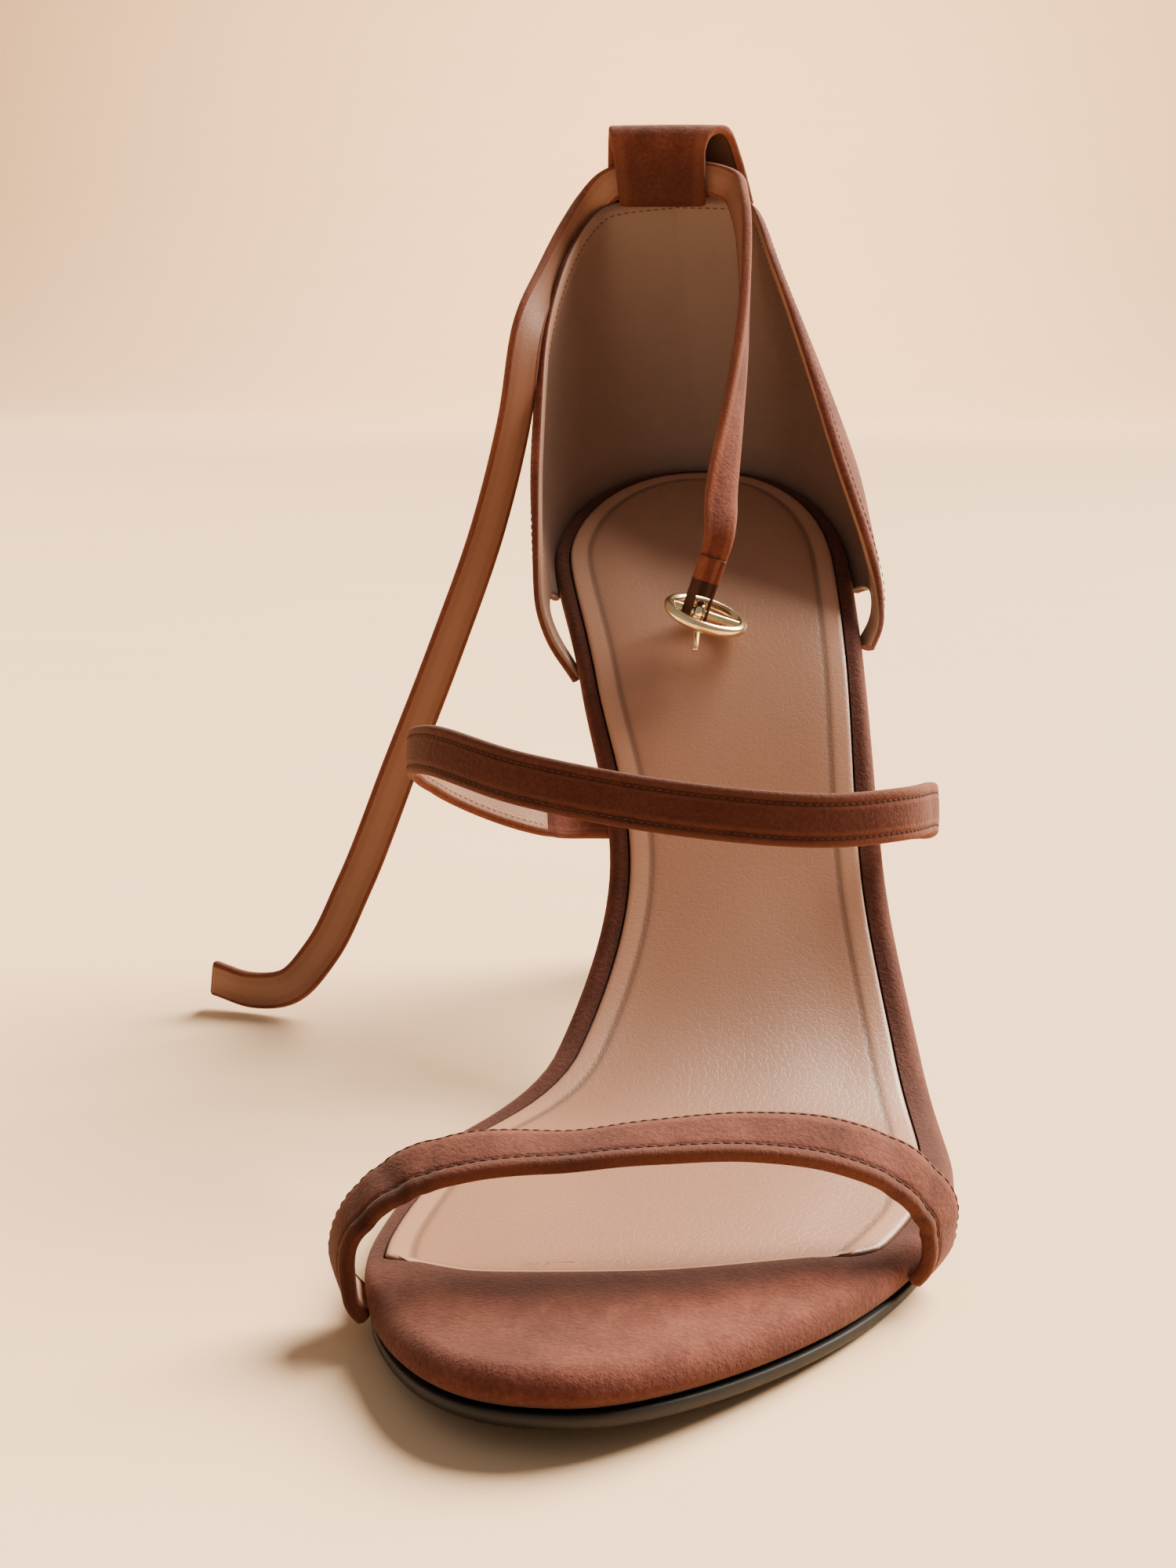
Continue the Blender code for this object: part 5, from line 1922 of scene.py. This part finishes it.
@dataclass
class StrapTab:
    """Tab at the top of the counter, folded forward as a tunnel for the ankle strap."""

    back: float = 155.0
    depth: float = 6.2
    foot: float = 151.4
    shoulder: float = 162.2
    points: int = 110
    # Painted shade on the front of the fold.
    front_shade: float = 0.62
    shade_places: tuple[float, ...] = (0.0, 0.55, 0.75, 1.0)
    shade_shares: tuple[float, ...] = (0.0, 0.0, 0.8, 1.0)
    front: tuple[tuple[float, float], ...] = ((0.0, 157.2), (0.0, 154.3), (0.3, 152.4), (1.4, 151.1))
    section: StrapSection = StrapSection(
        20.0, 1.6, crown=0.1, edge_round=0.6, turn_in=1.2, lining_sink=0.08
    )
    sides: tuple[TabRow, ...] = (
        TabRow(0, -20.2, 9),
        TabRow(0.28, -20.2, 6.4),
        TabRow(0.46, -20, 4),
        TabRow(0.62, -19.4, -0.2),
        TabRow(0.7, -18.9, -0.8),
        TabRow(1, -17.6, -0.6),
    )

    def build(self, finishes: Finishes) -> None:
        """Makes the tab.

        Args:
            finishes: the shoe's finishes.
        """
        radius = self.depth / 2
        fold = [(0, self.foot), (0, (self.foot + self.shoulder) / 2)]
        for turn in np.radians(np.linspace(0, 180, 9)):
            fold.append((radius * (1 - math.cos(turn)), self.shoulder + radius * math.sin(turn)))
        fold += [(self.depth - tuck, z) for tuck, z in self.front]
        line = curve_through([(0.0, self.back - d, z) for d, z in fold], self.points, relax=3)
        way = way_along(line) / way_along(line)[-1]
        shares = column(self.sides, "share")
        inner = smooth(shares, column(self.sides, "inner"), way)
        outer = smooth(shares, column(self.sides, "outer"), way)
        across = np.broadcast_to(np.array([1.0, 0.0, 0.0]), line.shape)
        size = (outer - inner) / self.section.width
        # Painted shade on the front of the fold.
        tone = self.front_shade * smooth(self.shade_places, self.shade_shares, way)
        ribbon = Ribbon(line, across, self.section, scale=size, shift=(inner + outer) / 2, tone=tone)
        # The lining face, inside the tunnel, takes the near-black material as painted shade.
        piece = ribbon.shape().piece("strap_tab_suede", [finishes.suede, finishes.dark])
        settle(piece, Body.SHOE, Slot.SUEDE, "strap_loop")


class AnkleRow(NamedTuple):
    """Middle line of the ankle strap; facing is where its lining looks, 0 to the toe."""

    x: float
    y: float
    z: float
    facing: float


@dataclass
class BuckleFrame:
    """The buckle's own directions and sizes, shared by the strap's end."""

    centre: Triple = (0.3, 93.0, 76.4)
    tilt: float = 18.0
    pitch: float = 14.0
    half_length: float = 6.7
    half_width: float = 6.0
    wire: float = 1.06
    bar_radius: float = 0.9
    chape_width: float = 5.6
    chape_shift: float = -2.0
    dark_height: float = 6.0
    chape_thick: float = 1.0
    chape_height: float = 10.0
    chape_flush: float = 0.55
    chape_pinch: tuple[float, float] = (0.84, 0.9)
    slot_width: float = 2.6
    slot_height: float = 3.2
    prong_length: float = 8.4
    prong_root: float = 0.75
    prong_tip: float = 0.5
    prong_drop: float = 45.0
    prong_skew: float = 10.0
    prong_shift: float = -1.4
    eye_width: float = 1.6
    eye_outer: float = 2.1
    eye_round: float = 0.25
    eye_chamfer: float = 0.15

    def __post_init__(self) -> None:
        """Works the three directions out."""
        tilt = math.radians(self.tilt)
        self.bar = np.array([math.cos(tilt), 0.0, -math.sin(tilt)])
        self.up = np.array([math.sin(tilt), 0.0, math.cos(tilt)])
        self.rear = np.array([0.0, 1.0, 0.0])
        self.middle = np.array(self.centre)
        pitch = math.radians(self.pitch)
        self.frame_rear = math.cos(pitch) * self.rear + math.sin(pitch) * self.up
        self.frame_up = math.cos(pitch) * self.up - math.sin(pitch) * self.rear

    def tube(self, shape: Shape, path: np.ndarray, radii: Any, sides: int = 18, closed: bool = False) -> None:
        """Adds a round tube along a path.

        Args:
            shape: the shape to add to.
            path: middle line of the tube.
            radii: radius, or one for each place.
            sides: points round the tube.
            closed: whether the path closes.
        """
        if closed:
            along = unit(np.roll(path, -1, axis=0) - np.roll(path, 1, axis=0))
        else:
            along = unit(np.gradient(path, axis=0))
        helper = self.rear if abs(float(along[0] @ self.rear)) < 0.9 else self.bar
        rings = []
        turns = np.linspace(0, 2 * math.pi, sides, endpoint=False)
        for place, way, radius in zip(path, along, np.broadcast_to(radii, len(path))):
            side = unit(np.cross(way, helper if abs(float(way @ helper)) < 0.95 else self.up))
            if closed:
                side = self.frame_up
            rise = np.cross(side, way)
            circle = np.cos(turns)[:, None] * side + np.sin(turns)[:, None] * rise
            rings.append(shape.add_ring(place + radius * circle))
        shape.skin(rings)
        if closed:
            shape.bridge(rings[-1], rings[0])
        else:
            shape.fill(rings[0])
            shape.fill(rings[-1])

    def build(self, finishes: Finishes) -> None:
        """Makes the frame with its bar, the prong and the leather fold.

        Args:
            finishes: the shoe's finishes.
        """
        settle(self.frame(finishes), Body.BUCKLE, Slot.GOLD, "buckle_frame")
        settle(self.prong(finishes), Body.PRONG, Slot.GOLD, "buckle_prong")
        settle(self.chape(finishes), Body.SHOE, Slot.DARK, "buckle_chape")

    def frame(self, finishes: Finishes) -> bpy.types.Object:
        """Oval frame and bar.

        Args:
            finishes: the shoe's finishes.

        Returns:
            The new piece.
        """
        shape = Shape.empty()
        oval = []
        for turn in np.linspace(0, 2 * math.pi, 96, endpoint=False):
            along, back = self.half_length * math.cos(turn), self.half_width * math.sin(turn)
            oval.append(self.middle + along * self.bar + back * self.frame_rear)
        self.tube(shape, np.array(oval), self.wire, closed=True)
        reach = np.linspace(-self.half_length, self.half_length, 9)
        self.tube(shape, np.array([self.middle + r * self.bar for r in reach]), self.bar_radius)
        return shape.piece("buckle_frame_gold", [finishes.gold])

    def prong(self, finishes: Finishes) -> bpy.types.Object:
        """Eye and tapered pin with a round tip.

        Args:
            finishes: the shoe's finishes.

        Returns:
            The new piece.
        """
        shape = Shape.empty()
        centre = self.middle + self.prong_shift * self.bar
        turns = np.linspace(0, 2 * math.pi, 40, endpoint=False)
        hole, outer, half = self.bar_radius + GAP, self.eye_outer, self.eye_width / 2
        soft, edge = self.eye_round, self.eye_chamfer
        profile = (
            (-half, hole + edge),
            (-half, outer - soft),
            (-half + soft, outer),
            (half - soft, outer),
            (half, outer - soft),
            (half, hole + edge),
            (half - edge, hole),
            (edge - half, hole),
        )
        circle = np.cos(turns)[:, None] * self.rear + np.sin(turns)[:, None] * self.up
        rings = [shape.add_ring(centre + s * self.bar + r * circle) for s, r in profile]
        shape.skin([*rings, rings[0]])
        drop, skew = math.radians(self.prong_drop), math.tan(math.radians(self.prong_skew))
        way = unit(skew * self.bar - math.cos(drop) * self.rear - math.sin(drop) * self.up)
        root = (hole + outer) / 2
        share = np.concatenate([np.linspace(0, 0.93, 12), [0.96, 0.98, 0.993, 1.0]])
        radii = self.prong_root + (self.prong_tip - self.prong_root) * share
        radii[-4:] *= (0.93, 0.8, 0.55, 0.15)
        path = np.array([centre + way * (root + (self.prong_length - root) * s) for s in share])
        self.tube(shape, path, radii)
        return shape.piece("buckle_prong_gold", [finishes.gold])

    def chape(self, finishes: Finishes) -> bpy.types.Object:
        """Leather fold round the bar, slotted for the prong.

        Args:
            finishes: the shoe's finishes.

        Returns:
            The new piece.
        """
        radius = self.bar_radius + GAP + self.chape_thick / 2
        flush, tall = radius - self.chape_flush, self.chape_height
        leg = [(flush, tall), (flush + 0.1, tall * 0.75), (radius, tall * 0.4), (radius, 1.0)]
        turns = np.radians(np.linspace(0, 180, 13))
        fold = [*leg, *((radius * math.cos(t), -radius * math.sin(t)) for t in turns)]
        fold += [(-d, r) for d, r in reversed(leg)]
        middle = self.middle + self.chape_shift * self.bar
        line = curve_through([middle + d * self.rear + r * self.up for d, r in fold], 110, relax=2)
        section = StrapSection(
            self.chape_width, self.chape_thick, crown=0.05, edge_round=0.35, turn_in=0.8, lining_sink=0.0
        )
        low, high = self.chape_pinch
        pinch = smooth((-2, 3, tall), (low, low, high), (line - self.middle) @ self.up)
        ribbon = Ribbon(line, np.broadcast_to(self.bar, line.shape), section, scale=pinch)
        piece = ribbon.shape(ends=0.2).piece("buckle_chape_leather", [finishes.suede, finishes.suede])
        self._slot(piece, 2 * radius)
        piece.data.materials.clear()
        for material in (finishes.suede, finishes.dark):
            piece.data.materials.append(material)
        for face in piece.data.polygons:
            height = float((np.array(face.center) / MM - self.middle) @ self.up)
            face.material_index = int(height < self.dark_height)
        return piece

    def _slot(self, piece: bpy.types.Object, reach: float) -> None:
        """Cuts the prong's slot through the fold.

        Args:
            piece: the folded leather.
            reach: half depth of the cut.
        """
        tool = Shape.empty()
        corners = ((-reach, -reach), (reach, -reach), (reach, self.slot_height), (-reach, self.slot_height))
        rings = []
        for along in (self.prong_shift - self.slot_width / 2, self.prong_shift + self.slot_width / 2):
            start = self.middle + along * self.bar
            rings.append(tool.add_ring(np.array([start + d * self.rear + r * self.up for d, r in corners])))
        tool.bridge(*rings)
        tool.fill(rings[0])
        tool.fill(rings[1])
        cutter = tool.piece("chape_slot_tool", [])
        modifier = piece.modifiers.new("slot", "BOOLEAN")
        modifier.operation = "DIFFERENCE"
        modifier.object = cutter
        baked(piece)
        bpy.data.objects.remove(cutter)


@dataclass
class AnkleStrap:
    """One strap from the buckle through the tab's tunnel to its loose tail."""

    buckle: BuckleFrame
    tail_width: float = 7.0
    points: int = 520
    pinch: float = 0.78
    pinch_run: Triple = (0.0, 5.0, 16.0)
    section: StrapSection = StrapSection(
        6.0, 1.8, crown=0.12, edge_round=0.7, turn_in=0.45, lining_sink=0.05
    )
    rows: tuple[AnkleRow, ...] = (
        AnkleRow(2.9, 99.5, 98, -162),
        AnkleRow(4.7, 108.5, 110.5, -128),
        AnkleRow(6.5, 118.5, 125, -100),
        AnkleRow(7, 129, 138.6, -82),
        AnkleRow(6, 140, 150, -58),
        AnkleRow(4.2, 147.4, 154.2, -28),
        AnkleRow(-0.5, 151, 155.9, 0),
        AnkleRow(-8, 151.8, 156.2, 0),
        AnkleRow(-15, 152.2, 156, 0),
        AnkleRow(-19.6, 153, 155, 10),
        AnkleRow(-23.5, 152.5, 151.1, 34),
        AnkleRow(-26.8, 147.9, 146, 50),
        AnkleRow(-30.5, 138.2, 137.4, 46),
        AnkleRow(-33.8, 125, 127, 34),
        AnkleRow(-36, 119.5, 110, 24),
        AnkleRow(-40.8, 116, 90, 18),
        AnkleRow(-48.3, 110, 68, 14),
        AnkleRow(-56.7, 105, 46, 12),
        AnkleRow(-65.4, 100, 23.5, 8),
        AnkleRow(-71.4, 96.5, 11.5, 0),
        AnkleRow(-77, 94.5, 5.6, -20),
        AnkleRow(-83.7, 95.5, 4.4, -40),
        AnkleRow(-92, 98.5, 5.8, -45),
    )

    def build(self, finishes: Finishes) -> None:
        """Makes the strap.

        Args:
            finishes: the shoe's finishes.
        """
        frame = self.buckle
        foot = frame.middle + frame.chape_shift * frame.bar
        tall = frame.chape_height
        heights = (frame.slot_height + GAP, tall * 0.6, tall * 0.8, tall, tall + 2)
        sewn = [(*(foot + height * frame.up), -180.0) for height in heights]
        line = curve_through([*sewn, *self.rows], self.points, relax=4)
        facing = np.radians(line[:, 3])
        face = np.stack([np.sin(facing), -np.cos(facing), np.zeros(len(line))], axis=1)
        along = unit(np.gradient(line[:, :3], axis=0))
        scale = np.linspace(1.0, self.tail_width / self.section.width, len(line))
        pinched = (self.pinch, self.pinch + 0.03, 1)
        scale = scale * smooth(self.pinch_run, pinched, way_along(line[:, :3]))
        ribbon = Ribbon(line[:, :3], np.cross(along, face), self.section, scale=scale)
        piece = ribbon.shape().piece("ankle_strap_suede", [finishes.suede, finishes.tail_lining])
        settle(piece, Body.SHOE, Slot.SUEDE, "ankle_strap")


@dataclass(frozen=True)
class Sun:
    """Even, soft light from one direction; spread in degrees."""

    name: str
    away: Triple
    spread: float
    power: float
    colour: Colour

    def build(self) -> None:
        """Adds the light."""
        data = bpy.data.lights.new(self.name, "SUN")
        data.angle = math.radians(self.spread)
        data.energy = self.power
        data.color = self.colour
        placed(self.name, data).rotation_euler = Vector(self.away).to_track_quat("Z", "Y").to_euler()


@dataclass(frozen=True)
class Lamp:
    """Square area light that looks at a point; place, aim and size in metres, spread in degrees."""

    name: str
    place: Triple
    aim: Triple
    size: float
    power: float
    colour: Colour
    spread: float = 180.0

    def build(self) -> None:
        """Adds the light."""
        data = bpy.data.lights.new(self.name, "AREA")
        data.size = self.size
        data.spread = math.radians(self.spread)
        data.energy = self.power
        data.color = self.colour
        lamp = placed(self.name, data)
        lamp.location = self.place
        lamp.rotation_euler = (Vector(self.aim) - Vector(self.place)).to_track_quat("-Z", "Y").to_euler()


@dataclass
class Studio:
    """Pale floor that rises into a backdrop, soft lights, and the camera at the photograph's place."""

    eye: Triple = (0.4, -278.6, 122.8)
    aim: Triple = (-18.8, 60.0, 52.3)
    lens: float = 48.0
    floor_half: float = 6.0
    floor_front: float = -2.0
    wall_start: float = 4.0
    wall_radius: float = 2.2
    wall_height: float = 4.0
    key: Sun = Sun("key_light", (0.62, 0.55, 0.70), 44.0, 19.5, (1.0, 0.89, 0.74))
    lamps: tuple[Lamp, ...] = (
        Lamp("fill_light", (-0.75, -0.70, 0.75), (0.0, 0.03, 0.06), 1.1, 0.5, (1.0, 0.93, 0.86)),
        Lamp("wall_light", (0.0, 1.4, 2.6), (0.0, 6.0, 0.35), 2.0, 158.0, (1.0, 0.80, 0.56), 72.0),
    )
    sky: Colour = (1.0, 0.90, 0.80)
    sky_strength: float = 0.32

    def build(self) -> None:
        """Makes the floor, the lights and the camera."""
        self.floor()
        for light in (self.key, *self.lamps):
            light.build()
        world = bpy.data.worlds.new("soft_room")
        world.use_nodes = True
        sky = world.node_tree.nodes["Background"]
        sky.inputs["Color"].default_value = (*self.sky, 1.0)
        sky.inputs["Strength"].default_value = self.sky_strength
        bpy.context.scene.world = world
        self.camera()

    def floor(self) -> None:
        """One sheet of paper: floor, curve and wall."""
        start, radius = self.wall_start, self.wall_radius
        profile = [(self.floor_front, 0.0), (-0.5, 0.0), (0.5, 0.0), (start, 0.0)]
        for turn in np.radians(np.linspace(10, 90, 9)):
            profile.append((start + radius * math.sin(turn), radius * (1 - math.cos(turn))))
        profile.append((profile[-1][0], self.wall_height))
        half = self.floor_half
        points = [(x, y, z) for y, z in profile for x in (-half, half)]
        faces = [(2 * i, 2 * i + 1, 2 * i + 3, 2 * i + 2) for i in range(len(profile) - 1)]
        mesh = bpy.data.meshes.new("paper_floor")
        mesh.from_pydata(points, [], faces)
        mesh.shade_smooth()
        mesh.materials.append(FloorFinish().material())
        placed("paper_floor", mesh)

    def camera(self) -> None:
        """Camera at the photograph's viewpoint, turned to the one shoe."""
        data = bpy.data.cameras.new("photo_camera")
        data.lens = self.lens
        data.clip_start = 0.01
        camera = placed("photo_camera", data)
        eye, aim = Vector(self.eye) * MM, Vector(self.aim) * MM
        camera.location = eye
        camera.rotation_euler = (aim - eye).to_track_quat("-Z", "Y").to_euler()
        bpy.context.scene.camera = camera


def main() -> None:
    """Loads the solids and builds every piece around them."""
    logging.basicConfig(level=logging.INFO, format="%(message)s")
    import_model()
    finishes = Finishes()
    stitcher = Stitcher(finishes.thread)
    last = Last()
    Studio().build()
    Sole(last).build(finishes)
    Heel(last).build(finishes)
    ToeStrap(last).build(finishes, stitcher)
    InstepStrap(last).build(finishes, stitcher)
    Counter(last).build(finishes, stitcher)
    StrapTab().build(finishes)
    buckle = BuckleFrame()
    buckle.build(finishes)
    AnkleStrap(buckle).build(finishes)


if __name__ == "__main__":
    main()
